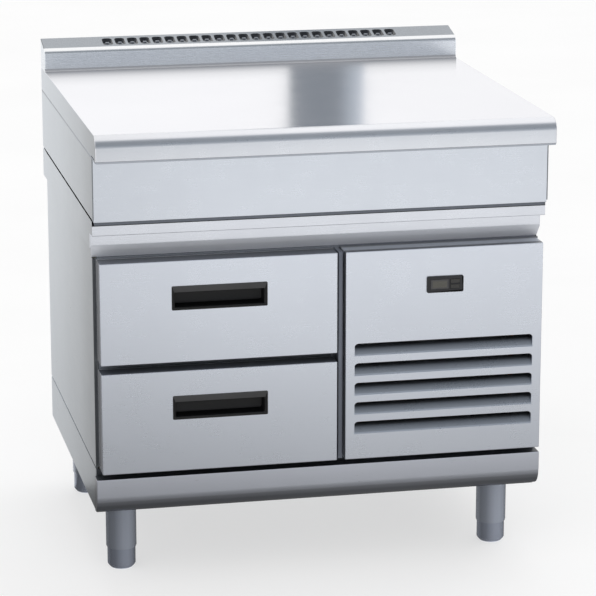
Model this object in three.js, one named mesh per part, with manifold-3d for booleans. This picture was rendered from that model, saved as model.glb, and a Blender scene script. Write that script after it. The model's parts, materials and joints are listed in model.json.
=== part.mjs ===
// Refrigerated base with two drawers and a machine compartment, on four adjustable legs,
// with a worktop bench and its low rear upstand standing on it.
// Millimetres. +X right, +Y to the back, +Z up. Origin on the floor, in the middle of the footprint.

import * as THREE from 'three';
import { mergeVertices } from 'three/addons/utils/BufferGeometryUtils.js';
import Module from 'manifold-3d';

const wasm = await Module();
wasm.setup();

// Whole module
const module_width = 900;
const module_depth = 805;
const worktop_height = 915;

// Shared clearances and sheets
const seat_gap = 0.3;
const cut_overrun = 1;
const outer_sheet = 1.5;
const inner_sheet = 1;
const round_steps = 20;
const small_round_steps = 12;
const snap_step = 1 / 1024;

// Worktop
const worktop_nose_radius = 12;
const worktop_front_drop = 48.3;
const worktop_front_return = 14;
const worktop_side_drop = 44;
const upstand_joint_width = 0.8;
const upstand_joint_depth = 0.5;
const stiffener_width = 60;
const stiffener_height = 25;
const stiffener_end_gap = 40;
const stiffener_place_shares = [0.3, 0.62];

// Rear upstand
const upstand_depth = 65;
const upstand_front_height = 48.7;
const upstand_back_height = 61;
const upstand_nose_radius = 6;
const nose_steps = 5;
const vent_side_margin = 120;
const vent_pitch = 27;
const vent_length = 21;
const vent_slot_width = 14;
const vent_bridge = 9;
const vent_back_margin = 10;

// Bench
const bench_height = 175;
const fascia_setback = 51.7;
const fascia_depth = 22;
const bench_return = 18;
const bench_seam = 4;
const fascia_overhang = 4.5;
const bench_pad_size = 40;
const bench_pad_inset = 90;
const bench_pad_front_gap = 90;
const bench_pad_back_gap = 40;

// Top frame of the base
const deck_drop = 11.3;
const lip_setback = 64.5;
const lip_height = 18.2;
const band_height = 31.1;
const band_slope_height = 19.4;
const band_slope_depth = 10;
const strip_height = 59;

// Cabinet
const cabinet_setback = 97.5;
const cabinet_side_inset = 4;
const cabinet_back_inset = 27.5;
const cabinet_bottom = 155;
const base_wall_height = 81.5;
const cabinet_seam = 3;
const seam_step = 2.3;
const seam_tongue_height = 18;
const side_return = 5;
const back_vent_count = 8;
const back_vent_pitch = 24;
const back_vent_height = 8;
const back_vent_length = 260;
const back_vent_rise = 130;

// Base frame, front rail and legs
const base_sheet = 2;
const base_deck_rise = 45;
const leg_plate_size = 120;
const leg_plate_lift = 6;
const leg_flange_size = 90;
const leg_flange_sheet = 3;
const leg_inset_x = 65;
const leg_inset_front = 187.5;
const leg_inset_back = 122.5;
const leg_radius = 30.5;
const leg_wall = 2;
const leg_bottom = 52;
const leg_bottom_chamfer = 3;
const foot_radius = 28.2;
const foot_chamfer = 5;
const foot_stem_radius = 12;
const foot_travel = 50;
const foot_stem_spare = 14;
const leg_nut_height = 8;
const rail_setback = 66.1;
const rail_side_inset = 1.2;
const rail_rise = 67.2;
const rail_height = 63.4;
const rail_radius = 27;
const rail_round_steps = 6;

// Drawer fronts and machine panel
const fronts_setback = 40.5;
const fronts_rise = 17.8;
const fronts_top_overlap = 0.8;
const fronts_side_margin = 9.7;
const fronts_gap_x = 16.4;
const fronts_gap_z = 17.3;
const machine_panel_width = 398.7;
const front_sheet = 1.2;
const front_depth = 40;
const liner_plate = 3.5;
const liner_rim_depth = 10;
const liner_rim_wall = 3;
const gasket_inset = 12;
const gasket_width = 14;
const gasket_lip_gap = 2;

// Handle pulls
const handle_width = 188;
const handle_height = 48;
const handle_top_margin = 49.8;
const handle_flange = 2;
const handle_flange_depth = 1.2;
const handle_depth = 30;
const handle_wall = 2;
const handle_pocket_border = 8;
const handle_lip_drop = 14;
const handle_lip_thickness = 3;
const handle_floor_rise = 4;

// Face frame, liner and insulation
const opening_side_margin = 42.3;
const face_side_gap = 4.7;
const face_top_return = 20;
const post_width = 18.6;
const liner_floor_rise = 62;
const liner_top_gap = 15;
const liner_back_inset = 53;
const insulation_front_gap = 2;

// Drawer boxes and their telescopic slides
const drawer_hold = 30;
const box_side_gap = 24.45;
const box_back_gap = 31.6;
const box_clear_below = 10;
const box_clear_above = 15.75;
const slide_overlap = 25;
const slide_height = 46;
const slide_sheet = 1.5;
const slide_play = 0.4;
const fixed_rail_depth = 10;
const middle_rail_depth = 14;
const rack_post_width = 25;
const rack_post_margin = 40;
const rack_end_margin = 20;

// Louvres
const louvre_pitch = 39.8;
const louvre_side_margin = 17.85;
const louvre_height = 26;
const louvre_top_margin = 184.8;
const louvre_bottom_margin = 45;
const louvre_corner_radius = 8;
const louvre_corner_steps = 4;
const louvre_recess = 15;
const louvre_mouth = 6;

// Controller
const controller_width = 74;
const controller_height = 33;
const controller_top_margin = 56.8;
const controller_proud = 2.5;
const controller_border = 1.5;
const controller_depth = 55;
const controller_face_recess = 0.8;
const lens_width = 36;
const lens_height = 19;
const lens_depth = 1.2;
const lens_shift = -11;
const key_width = 18;
const key_height = 7.5;
const key_shift = 20;
const key_spacing = 10.5;
const key_depth = 3.2;
const key_proud = 0.6;
const key_clearance = 0.4;
const key_pocket_depth = 4.4;

// Machine compartment
const tray_margin = 14;
const tray_wall_height = 20;
const tray_back_gap = 59.9;
const condenser_side_margin = 39.35;
const condenser_height = 300;
const condenser_depth = 44;
const condenser_front_gap = 18;
const fin_count = 18;
const fin_thickness = 1.5;
const condenser_core = 12;
const coil_core = 14;
const stub_length = 8;
const shroud_ring_length = 36;
const fan_opening_radius = 122;
const fan_radius = 115;
const fan_blade_count = 5;
const fan_blade_chord = 50;
const fan_blade_thickness = 2;
const fan_blade_pitch_angle = Math.PI * 0.16;
const fan_hub_radius = 22;
const fan_hub_length = 18;
const fan_shaft_radius = 4;
const fan_shaft_length = 20;
const fan_shaft_play = 0.6;
const motor_radius = 42;
const motor_length = 60;
const motor_bore_depth = 16;
const cradle_wall = 2.5;
const cradle_length = 12;
const bracket_arm_count = 3;
const bracket_arm_width = 16;
const bracket_arm_thickness = 3;
const compressor_radius = 75;
const compressor_height = 180;
const compressor_dome = 34;
const dome_top_share = 0.45;
const dome_shoulder_share = 0.86;
const compressor_hollow_radius = 48;
const compressor_hollow_height = 150;
const compressor_base_width = 190;
const compressor_base_depth = 130;
const compressor_base_sheet = 3;
const compressor_foot_height = 15;
const compressor_foot_radius = 12;
const compressor_back_gap = 220;
const compressor_stub_spread = 30;
const compressor_stub_height = 14;
const terminal_box_width = 26;
const terminal_box_height = 60;
const terminal_box_depth = 56;
const pipe_radius = 5;
const pipe_sides = 8;
const pipe_bend = 14;
const pipe_bend_steps = 4;
const pipe_hole_play = 2;
const discharge_rise = 120;
const suction_rise = 110;
const suction_stub_drop = 13.6;
const liquid_stub_rise = 46.4;
const liquid_pipe_side_gap = 18;
const drier_radius = 13;
const drier_length = 110;
const drier_place_share = 0.25;
const electrical_box_width = 60;
const electrical_box_depth = 130;
const electrical_box_height = 130;
const electrical_box_top_gap = 126.9;
const electrical_box_front_gap = 130;
const gland_radius = 9;
const gland_bore_radius = 4;
const gland_flange_radius = 14;
const gland_flange_length = 5;
const gland_length = 24;
const gland_nut_sides = 6;
const gland_side_gap = 50;
const gland_rise = 90;

// Evaporator
const housing_side_margin = 13;
const housing_depth = 78;
const housing_top_gap = 6;
const coil_margin = 14;
const coil_depth = 52;
const coil_top_gap = 125.4;
const coil_fin_count = 15;
const inlet_top_gap = 136.7;
const inlet_margin = 50;
const cold_fan_opening_radius = 40;
const cold_fan_radius = 36;
const cold_fan_blade_chord = 22;
const cold_fan_hub_radius = 9;
const cold_fan_hub_length = 10;
const cold_fan_top_gap = 48;
const cold_fan_setback = 10;
const cold_motor_radius = 20;
const cold_motor_length = 36;
const cold_motor_bore_depth = 8;
const cold_shaft_radius = 3;
const cold_shaft_length = 12;
const cold_arm_width = 16;

// Finishes
const bright_steel = { color: 0xc9ced8, roughness: 0.3, metalness: 0.85 };
const side_steel = { color: 0xb4b9bd, roughness: 0.38, metalness: 0.85 };
const dark_steel = { color: 0x7c828b, roughness: 0.4, metalness: 0.85 };
const inner_steel = { color: 0xbfc3c8, roughness: 0.45, metalness: 0.8 };
const galvanised = { color: 0x9aa0a4, roughness: 0.6, metalness: 0.6 };
const aluminium = { color: 0xd0d3d6, roughness: 0.5, metalness: 0.8 };
const copper = { color: 0xb8734a, roughness: 0.35, metalness: 0.9 };
const black_paint = { color: 0x1c1d1f, roughness: 0.55, metalness: 0.2 };
const black_plastic = { color: 0x1b1b1c, roughness: 0.5, metalness: 0 };
const dark_plastic = { color: 0x3a3c40, roughness: 0.45, metalness: 0 };
const grey_plastic = { color: 0x8c9094, roughness: 0.6, metalness: 0 };
const smoked_lens = { color: 0x45443f, roughness: 0.15, metalness: 0 };
const foam = { color: 0xd8cfa8, roughness: 0.95, metalness: 0 };
const rubber = { color: 0x4a4c50, roughness: 0.85, metalness: 0 };

// Solids. Corners are snapped to a fine grid, so that faces meant to lie in one plane do.

function solid_of(geometry) {
  geometry.deleteAttribute('normal');
  geometry.deleteAttribute('uv');
  const places = geometry.attributes.position.array;
  places.forEach((value, i) => {
    places[i] = Math.round(value / snap_step) * snap_step;
  });
  const merged = mergeVertices(geometry);
  const corners = merged.index.array;
  const kept = [];
  for (let i = 0; i < corners.length; i += 3) {
    const [a, b, c] = [corners[i], corners[i + 1], corners[i + 2]];
    if (a !== b && b !== c && c !== a) kept.push(a, b, c);
  }
  const mesh = new wasm.Mesh({
    numProp: 3,
    vertProperties: Float32Array.from(merged.attributes.position.array),
    triVerts: Uint32Array.from(kept),
  });
  return new wasm.Manifold(mesh);
}

function join(...solids) {
  return solids.reduce((whole, solid) => whole.add(solid));
}

function cut(solid, ...tools) {
  return tools.reduce((rest, tool) => rest.subtract(tool), solid);
}

function box_geometry(x, y, z) {
  const geometry = new THREE.BoxGeometry(x[1] - x[0], y[1] - y[0], z[1] - z[0]);
  return geometry.translate((x[0] + x[1]) / 2, (y[0] + y[1]) / 2, (z[0] + z[1]) / 2);
}

function box(x, y, z) {
  return solid_of(box_geometry(x, y, z));
}

// A sheet box with one open side, named by its direction, such as '+y'.
function tray(x, y, z, sheet, open_side) {
  const inner = [x, y, z].map((span, axis) => {
    const letter = 'xyz'[axis];
    const low = open_side === `-${letter}` ? span[0] - cut_overrun : span[0] + sheet;
    const high = open_side === `+${letter}` ? span[1] + cut_overrun : span[1] - sheet;
    return [low, high];
  });
  return cut(box(x, y, z), box(...inner));
}

// Prisms: an outline in two axes, run along the third.
const along = {
  x: new THREE.Matrix4().makeBasis(
    new THREE.Vector3(0, 1, 0), new THREE.Vector3(0, 0, 1), new THREE.Vector3(1, 0, 0)),
  y: new THREE.Matrix4().makeBasis(
    new THREE.Vector3(1, 0, 0), new THREE.Vector3(0, 0, 1), new THREE.Vector3(0, -1, 0)),
  z: new THREE.Matrix4(),
};

function prism_geometry(axis, outline, span) {
  const shape = new THREE.Shape(outline.map(([u, v]) => new THREE.Vector2(u, v)));
  const depth = span[1] - span[0];
  const geometry = new THREE.ExtrudeGeometry(shape, { depth, bevelEnabled: false });
  geometry.applyMatrix4(along[axis]);
  const start = axis === 'y' ? span[1] : span[0];
  const shift = { x: 0, y: 0, z: 0, [axis]: start };
  return geometry.translate(shift.x, shift.y, shift.z);
}

function prism(axis, outline, span) {
  return solid_of(prism_geometry(axis, outline, span));
}

function rectangle(u, v) {
  return [[u[0], v[0]], [u[1], v[0]], [u[1], v[1]], [u[0], v[1]]];
}

function arc(centre, radius, from, to, steps) {
  return Array.from({ length: steps + 1 }, (_, i) => {
    const angle = from + (to - from) * i / steps;
    return [centre[0] + radius * Math.cos(angle), centre[1] + radius * Math.sin(angle)];
  });
}

function circle(centre, radius, steps = round_steps) {
  return arc(centre, radius, 0, 2 * Math.PI, steps).slice(0, steps);
}

function rod(axis, centre, radius, span, steps) {
  return prism(axis, circle(centre, radius, steps), span);
}

// A turned solid on a vertical axis, from a profile of [radius, height] points.
function turned(centre, profile, steps = round_steps) {
  const points = profile.map(([radius, height]) => new THREE.Vector2(radius, height));
  const geometry = new THREE.LatheGeometry(points, steps);
  geometry.rotateX(Math.PI / 2);
  return solid_of(geometry.translate(centre[0], centre[1], 0));
}

// A route that is sampled at chosen stations: the ends of its straight runs, and steps round its bends.
class Route extends THREE.Curve {
  constructor(path, stations) {
    super();
    this.path = path;
    this.stations = stations;
  }

  station(u) {
    return this.stations[Math.round(u * (this.stations.length - 1))];
  }

  getPointAt(u) {
    return this.path.getPointAt(this.station(u));
  }

  getTangentAt(u) {
    return this.path.getTangentAt(this.station(u));
  }
}

// A round pipe along straight runs with rounded corners.
function pipe(points, radius) {
  const route = new THREE.CurvePath();
  const at = points.map(point => new THREE.Vector3(...point));
  let start = at[0];
  for (let i = 1; i < at.length - 1; i += 1) {
    const before = at[i].clone().add(at[i - 1].clone().sub(at[i]).setLength(pipe_bend));
    const after = at[i].clone().add(at[i + 1].clone().sub(at[i]).setLength(pipe_bend));
    route.add(new THREE.LineCurve3(start, before));
    route.add(new THREE.QuadraticBezierCurve3(before, at[i], after));
    start = after;
  }
  route.add(new THREE.LineCurve3(start, at[at.length - 1]));
  const ends = route.getCurveLengths();
  const whole = ends[ends.length - 1];
  const stations = [0];
  route.curves.forEach((curve, i) => {
    const begin = i > 0 ? ends[i - 1] : 0;
    const steps = curve.isQuadraticBezierCurve3 ? pipe_bend_steps : 1;
    for (let k = 1; k <= steps; k += 1) stations.push((begin + (ends[i] - begin) * k / steps) / whole);
  });
  const section = new THREE.Shape(
    circle([0, 0], radius, pipe_sides).map(([u, v]) => new THREE.Vector2(u, v)));
  return solid_of(new THREE.ExtrudeGeometry(section, {
    extrudePath: new Route(route, stations),
    steps: stations.length - 1,
    bevelEnabled: false,
  }));
}

// A fan about an axis along Y: hub, pitched blades and a shaft to the back.
function fan(centre, hub_radius, hub_length, tip_radius, chord, shaft_radius, shaft_length) {
  const [x, y, z] = centre;
  const hub_front = y - hub_length / 2;
  const hub_back = y + hub_length / 2;
  const hub = rod('y', [x, z], hub_radius, [hub_front, hub_back]);
  const shaft = rod('y', [x, z], shaft_radius, [y, hub_back + shaft_length], small_round_steps);
  const root_radius = hub_radius - fan_blade_thickness;
  const blades = Array.from({ length: fan_blade_count }, (_, i) => {
    const blade = box_geometry(
      [root_radius, tip_radius],
      [-fan_blade_thickness / 2, fan_blade_thickness / 2],
      [-chord / 2, chord / 2]);
    blade.rotateX(fan_blade_pitch_angle);
    blade.rotateY(2 * Math.PI * i / fan_blade_count);
    return solid_of(blade.translate(x, y, z));
  });
  return join(hub, shaft, ...blades);
}

// A finned block: upright fins at the front and back, left by grooves cut into a solid block.
function finned_block(x, y, z, core, count) {
  const proud = (y[1] - y[0] - core) / 2;
  const pitch = (x[1] - x[0] - fin_thickness) / (count - 1);
  const tall = [z[0] - cut_overrun, z[1] + cut_overrun];
  const grooves = Array.from({ length: count - 1 }, (_, i) => {
    const low = x[0] + pitch * i + fin_thickness;
    const across = [low, low + pitch - fin_thickness];
    return [
      box(across, [y[0] - cut_overrun, y[0] + proud], tall),
      box(across, [y[1] - proud, y[1] + cut_overrun], tall),
    ];
  });
  return cut(box(x, y, z), ...grooves.flat());
}

const refrigerated_base = new THREE.Group();

function piece(name, solid, finish) {
  const found = solid.getMesh();
  const geometry = new THREE.BufferGeometry();
  geometry.setAttribute('position', new THREE.BufferAttribute(found.vertProperties, 3));
  geometry.setIndex(new THREE.BufferAttribute(found.triVerts, 1));
  geometry.computeVertexNormals();
  const mesh = new THREE.Mesh(geometry, new THREE.MeshStandardMaterial(finish));
  mesh.name = name;
  refrigerated_base.add(mesh);
}

// Places shared by several pieces
const half_width = module_width / 2;
const front_y = -module_depth / 2;
const back_y = module_depth / 2;
const worktop_underside = worktop_height - outer_sheet;
const bench_side_top = worktop_height - worktop_side_drop - seat_gap;
const base_height = worktop_height - bench_height;
const bench_side_bottom = base_height + bench_seam;
const bench_inner_x = half_width - outer_sheet - seat_gap;
const bench_inner_back = back_y - outer_sheet - seat_gap;
const fascia_y = front_y + fascia_setback;
const bench_returns_y = fascia_y + fascia_depth + seat_gap;
const deck_top = base_height - deck_drop;
const deck_underside = deck_top - outer_sheet;
const cabinet_x = half_width - cabinet_side_inset;
const cabinet_front = front_y + cabinet_setback;
const cabinet_back = back_y - cabinet_back_inset;
const cabinet_seam_height = cabinet_bottom + base_wall_height;
const base_deck_height = cabinet_bottom + base_deck_rise;
const inside_front = cabinet_front + base_sheet + seat_gap;
const inside_back = cabinet_back - base_sheet - seat_gap;
const side_inner_x = cabinet_x - outer_sheet;
const tongue_inner_x = cabinet_x - seam_step - outer_sheet;
const inside_x = tongue_inner_x - seat_gap;
const inside_top = deck_underside - seat_gap;
const inside_bottom = base_deck_height + seat_gap;
const lip_bottom = deck_top - lip_height;
const band_bottom = lip_bottom - band_height;
const slope_bottom = band_bottom - band_slope_height;
const slope_front = cabinet_front + band_slope_depth;
const slope_back = slope_front + outer_sheet;
const fronts_y = front_y + fronts_setback;
const fronts_half_width = half_width - fronts_side_margin;
const rail_top = cabinet_bottom + rail_rise;
const fronts_bottom = rail_top + fronts_rise;
const fronts_top = slope_bottom + fronts_top_overlap;
const front_height = (fronts_top - fronts_bottom - fronts_gap_z) / 2;
const drawer_x = [
  -fronts_half_width,
  fronts_half_width - machine_panel_width - fronts_gap_x,
];
const machine_panel_x = [fronts_half_width - machine_panel_width, fronts_half_width];
const drawer_centre = (drawer_x[0] + drawer_x[1]) / 2;
const machine_centre = (machine_panel_x[0] + machine_panel_x[1]) / 2;
const drawer_levels = {
  upper: fronts_bottom + front_height + fronts_gap_z,
  lower: fronts_bottom,
};
const opening_x = [drawer_x[0] + opening_side_margin, drawer_x[1] - opening_side_margin];
const opening_z_margin = gasket_inset + gasket_width + gasket_lip_gap;
const post_x = [machine_panel_x[0] - seat_gap - post_width, machine_panel_x[0] - seat_gap];
const partition_x = [post_x[1] - outer_sheet, post_x[1]];
const face_sheet = outer_sheet;
const liner_front = cabinet_front + face_sheet + seat_gap;
const liner_back = cabinet_back - liner_back_inset;
const liner_bottom = base_deck_height + liner_floor_rise;
const liner_top = slope_bottom - liner_top_gap;
const housing_y = [liner_back - seat_gap - housing_depth, liner_back - seat_gap];
const housing_z = [liner_bottom + seat_gap, liner_top - housing_top_gap];
const coil_bottom = housing_z[0] + inner_sheet + seat_gap;
const coil_z = [coil_bottom, housing_z[1] - coil_top_gap];
const suction_pipe_height = coil_z[1] - suction_stub_drop;
const liquid_pipe_height = coil_z[0] + liquid_stub_rise;
const seat_plane = cabinet_front - seat_gap;

// Worktop: a folded sheet with a rounded front edge, a joint line before the upstand and hat stiffeners.
function worktop_outline(inset) {
  const nose_centre = [front_y + worktop_nose_radius, worktop_height - worktop_nose_radius];
  const nose = arc(nose_centre, worktop_nose_radius - inset, Math.PI, Math.PI / 2, nose_steps);
  return nose.concat([[back_y - inset, worktop_height - inset]]);
}

function hat_stiffener(share) {
  const middle = front_y + module_depth * share;
  const low = worktop_underside - stiffener_height;
  const ends = half_width - stiffener_end_gap;
  return cut(
    box([-ends, ends], [middle - stiffener_width / 2, middle + stiffener_width / 2],
      [low, worktop_underside + outer_sheet / 2]),
    box([-ends - cut_overrun, ends + cut_overrun],
      [middle - stiffener_width / 2 + outer_sheet, middle + stiffener_width / 2 - outer_sheet],
      [low + outer_sheet, worktop_underside]));
}

function worktop() {
  const drop_z = worktop_height - worktop_front_drop;
  const side_z = worktop_height - worktop_side_drop;
  const return_y = front_y + worktop_front_return;
  const outer = worktop_outline(0).concat([
    [back_y, side_z], [return_y, side_z], [return_y, drop_z], [front_y, drop_z],
  ]);
  const inner = worktop_outline(outer_sheet).concat([
    [back_y - outer_sheet, drop_z - cut_overrun],
    [return_y + cut_overrun, drop_z - cut_overrun],
    [return_y + cut_overrun, drop_z + outer_sheet],
    [front_y + outer_sheet, drop_z + outer_sheet],
  ]);
  const joint_y = back_y - upstand_depth;
  const joint = box(
    [-half_width - cut_overrun, half_width + cut_overrun],
    [joint_y - upstand_joint_width, joint_y],
    [worktop_height - upstand_joint_depth, worktop_height + cut_overrun]);
  const shell = cut(
    prism('x', outer, [-half_width, half_width]),
    prism('x', inner, [outer_sheet - half_width, half_width - outer_sheet]),
    joint);
  return join(shell, ...stiffener_place_shares.map(hat_stiffener));
}
piece('worktop', worktop(), bright_steel);

// Rear upstand: a folded box with a sloping top, cut by two rows of vent slots joined by bridges.
function upstand_outline(inset) {
  const foot = worktop_height + seat_gap;
  const low = inset > 0 ? foot - cut_overrun : foot;
  const front = back_y - upstand_depth;
  const nose_centre = [
    front + upstand_nose_radius,
    worktop_height + upstand_front_height - upstand_nose_radius,
  ];
  const slope = Math.atan2(
    upstand_back_height - upstand_front_height, upstand_depth - upstand_nose_radius);
  const nose = arc(
    nose_centre, upstand_nose_radius - inset, Math.PI, Math.PI / 2 + slope, nose_steps);
  return [
    [back_y - inset, low],
    [front + inset, low],
    ...nose,
    [back_y - inset, worktop_height + upstand_back_height - inset],
  ];
}

function rear_upstand() {
  const shell = cut(
    prism('x', upstand_outline(0), [-half_width, half_width]),
    prism('x', upstand_outline(outer_sheet), [outer_sheet - half_width, half_width - outer_sheet]));
  const tool_z = [
    worktop_height + upstand_front_height / 2,
    worktop_height + upstand_back_height + cut_overrun,
  ];
  const back_row = back_y - vent_back_margin;
  const front_row = back_row - vent_slot_width - vent_bridge;
  const vent_count = Math.floor((module_width - 2 * vent_side_margin) / vent_pitch);
  const slots = Array.from({ length: vent_count }, (_, i) => {
    const middle = (i - (vent_count - 1) / 2) * vent_pitch;
    const x = [middle - vent_length / 2, middle + vent_length / 2];
    return [back_row, front_row].map(y => box(x, [y - vent_slot_width, y], tool_z));
  });
  return cut(shell, ...slots.flat());
}
piece('rear_upstand', rear_upstand(), bright_steel);

// Bench: fascia, sides, back and floor.
piece('fascia_panel', tray(
  [-bench_inner_x, bench_inner_x],
  [fascia_y, fascia_y + fascia_depth],
  [bench_side_bottom - fascia_overhang, worktop_underside - seat_gap],
  outer_sheet, '+y'), bright_steel);

function mirrored_span(side, inner, outer) {
  return [inner * side, outer * side].sort((a, b) => a - b);
}

function bench_side(side) {
  const across = (inner, outer) => mirrored_span(side, inner, outer);
  const returns_x = half_width - bench_return;
  const web_x = half_width - outer_sheet;
  const height = [bench_side_bottom, bench_side_top];
  return cut(
    box(across(returns_x, half_width), [fascia_y, bench_inner_back], height),
    box(across(returns_x - cut_overrun, web_x),
      [fascia_y + fascia_depth / 2, bench_inner_back - outer_sheet],
      [height[0] + outer_sheet, height[1] - outer_sheet]),
    box(across(returns_x - cut_overrun, web_x),
      [fascia_y - cut_overrun, bench_returns_y],
      [height[0] - cut_overrun, height[1] + cut_overrun]));
}
piece('bench_side_left', bench_side(-1), side_steel);
piece('bench_side_right', bench_side(1), side_steel);

piece('bench_back', box(
  [-bench_inner_x, bench_inner_x],
  [back_y - outer_sheet, back_y],
  [bench_side_bottom, bench_side_top]), side_steel);

function bench_floor() {
  const low = bench_side_bottom + outer_sheet + seat_gap;
  const back = bench_inner_back - outer_sheet - seat_gap;
  const plate = box([-bench_inner_x, bench_inner_x], [bench_returns_y, back], [low, low + outer_sheet]);
  const pad_x = half_width - bench_pad_inset;
  const pad_places = [bench_returns_y + bench_pad_front_gap, back - bench_pad_back_gap - bench_pad_size];
  const pads = [-1, 1].flatMap(side => pad_places.map(y => box(
    [side * pad_x - bench_pad_size / 2, side * pad_x + bench_pad_size / 2],
    [y, y + bench_pad_size],
    [deck_top + seat_gap, low + outer_sheet / 2])));
  return join(plate, ...pads);
}
piece('bench_floor', bench_floor(), galvanised);

// Top frame of the base: lip, band, sloping underside, deck and the strips along the sides and back.
function top_frame() {
  const lip_y = front_y + lip_setback;
  const folded = [
    [lip_y, deck_top],
    [lip_y, lip_bottom],
    [cabinet_front, lip_bottom],
    [cabinet_front, band_bottom],
    [slope_front, slope_bottom],
    [slope_back, slope_bottom],
    [cabinet_front + outer_sheet, band_bottom],
    [cabinet_front + outer_sheet, lip_bottom + outer_sheet],
    [lip_y + outer_sheet, lip_bottom + outer_sheet],
    [lip_y + outer_sheet, deck_underside],
    [back_y, deck_underside],
    [back_y, deck_top],
  ];
  const band_x = half_width - cabinet_side_inset;
  const below_lip = [slope_bottom - cut_overrun, lip_bottom];
  const ends = [-1, 1].map(side => {
    const x = [band_x, half_width + cut_overrun].map(value => value * side).sort((a, b) => a - b);
    return box(x, [lip_y, slope_back + cut_overrun], below_lip);
  });
  const strip_z = [base_height - strip_height, base_height];
  const strip_outline = [
    [lip_y, base_height],
    [lip_y, lip_bottom],
    [slope_back, lip_bottom],
    [slope_back, strip_z[0]],
    [back_y, strip_z[0]],
    [back_y, base_height],
  ];
  const strips = [-1, 1].map(side => {
    const x = [half_width - outer_sheet, half_width].map(value => value * side).sort((a, b) => a - b);
    return prism('x', strip_outline, x);
  });
  const rear = box([-half_width, half_width], [back_y - outer_sheet, back_y], strip_z);
  return join(cut(prism('x', folded, [-half_width, half_width]), ...ends), ...strips, rear);
}
piece('top_frame', top_frame(), bright_steel);

// Cabinet sides: a sheet with a narrow front return and a joggled tongue inside the base frame.
function cabinet_side(side) {
  const low = cabinet_seam_height + cabinet_seam;
  const across = (inner, outer) => mirrored_span(side, inner, outer);
  const return_x = cabinet_x - side_return;
  const tongue_x = cabinet_x - seam_step;
  const below = low - seam_tongue_height - cut_overrun;
  const front = cabinet_front - cut_overrun;
  const back = cabinet_back + cut_overrun;
  const behind_return = cabinet_front + outer_sheet;
  return cut(
    box(across(return_x, cabinet_x), [cabinet_front, cabinet_back], [low - seam_tongue_height, inside_top]),
    box(across(return_x - cut_overrun, side_inner_x), [behind_return, back],
      [low + outer_sheet, inside_top + cut_overrun]),
    box(across(return_x - cut_overrun, tongue_inner_x), [behind_return, back], [below, low + side_return]),
    box(across(tongue_x, cabinet_x + cut_overrun), [front, back], [below, low]),
    box(across(return_x - cut_overrun, cabinet_x + cut_overrun), [front, inside_front], [below, low]),
    box(across(return_x - cut_overrun, cabinet_x + cut_overrun), [inside_back, back], [below, low]),
    box(across(return_x - cut_overrun, cabinet_x + cut_overrun), [front, slope_back + seat_gap],
      [slope_bottom - seat_gap, inside_top + cut_overrun]));
}
piece('cabinet_side_left', cabinet_side(-1), side_steel);
piece('cabinet_side_right', cabinet_side(1), side_steel);

// Cabinet back, with air slots behind the machine compartment and a hole for the cable gland.
const back_panel_y = [inside_back - outer_sheet, inside_back];
const gland_x = cabinet_x - gland_side_gap;
const gland_height = base_deck_height + gland_rise;
function cabinet_back_panel() {
  const panel = box([-inside_x, inside_x], back_panel_y, [inside_bottom, inside_top]);
  const tool_y = [back_panel_y[0] - cut_overrun, back_panel_y[1] + cut_overrun];
  const slots = Array.from({ length: back_vent_count }, (_, i) => {
    const low = base_deck_height + back_vent_rise + i * back_vent_pitch;
    return box(
      [machine_centre - back_vent_length / 2, machine_centre + back_vent_length / 2],
      tool_y, [low, low + back_vent_height]);
  });
  const gland_hole = rod('y', [gland_x, gland_height], gland_radius + seat_gap, tool_y, small_round_steps);
  return cut(panel, ...slots, gland_hole);
}
piece('cabinet_back', cabinet_back_panel(), galvanised);

// Base frame: walls all round, a deck that carries the cabinet, and a plate over each leg.
const leg_places = {
  front_left: [leg_inset_x - half_width, front_y + leg_inset_front],
  front_right: [half_width - leg_inset_x, front_y + leg_inset_front],
  rear_left: [leg_inset_x - half_width, back_y - leg_inset_back],
  rear_right: [half_width - leg_inset_x, back_y - leg_inset_back],
};
const leg_plate_z = cabinet_bottom + leg_plate_lift;
function base_frame() {
  const x = [-cabinet_x, cabinet_x];
  const y = [cabinet_front, cabinet_back];
  const walls = cut(
    box(x, y, [cabinet_bottom, cabinet_seam_height]),
    box([x[0] + base_sheet, x[1] - base_sheet], [y[0] + base_sheet, y[1] - base_sheet],
      [cabinet_bottom - cut_overrun, cabinet_seam_height + cut_overrun]));
  const deck = box(x, y, [base_deck_height - base_sheet, base_deck_height]);
  const plates = Object.values(leg_places).map(([leg_x, leg_y]) => {
    const outer_x = Math.sign(leg_x) * (cabinet_x - base_sheet / 2);
    const inner_x = leg_x - Math.sign(leg_x) * leg_plate_size / 2;
    const outer_y = leg_y < 0 ? y[0] + base_sheet / 2 : y[1] - base_sheet / 2;
    const inner_y = leg_y < 0 ? leg_y + leg_plate_size / 2 : leg_y - leg_plate_size / 2;
    return box(
      [outer_x, inner_x].sort((a, b) => a - b),
      [outer_y, inner_y].sort((a, b) => a - b),
      [leg_plate_z, leg_plate_z + base_sheet]);
  });
  return join(walls, deck, ...plates);
}
piece('base_frame', base_frame(), side_steel);

// Front rail: flat above, rounded underneath, closed at both ends.
function rail_outline(inset) {
  const rail_y = front_y + rail_setback;
  const bottom = rail_top - rail_height;
  const rear = inset > 0 ? seat_plane + cut_overrun : seat_plane;
  const centre = [rail_y + rail_radius, bottom + rail_radius];
  return [
    [rear, rail_top - inset],
    [rail_y + inset, rail_top - inset],
    ...arc(centre, rail_radius - inset, Math.PI, Math.PI * 1.5, rail_round_steps),
    [rear, bottom + inset],
  ];
}
const rail_half_width = half_width - rail_side_inset;
piece('front_rail', cut(
  prism('x', rail_outline(0), [-rail_half_width, rail_half_width]),
  prism('x', rail_outline(outer_sheet), [outer_sheet - rail_half_width, rail_half_width - outer_sheet])),
dark_steel);

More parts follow.
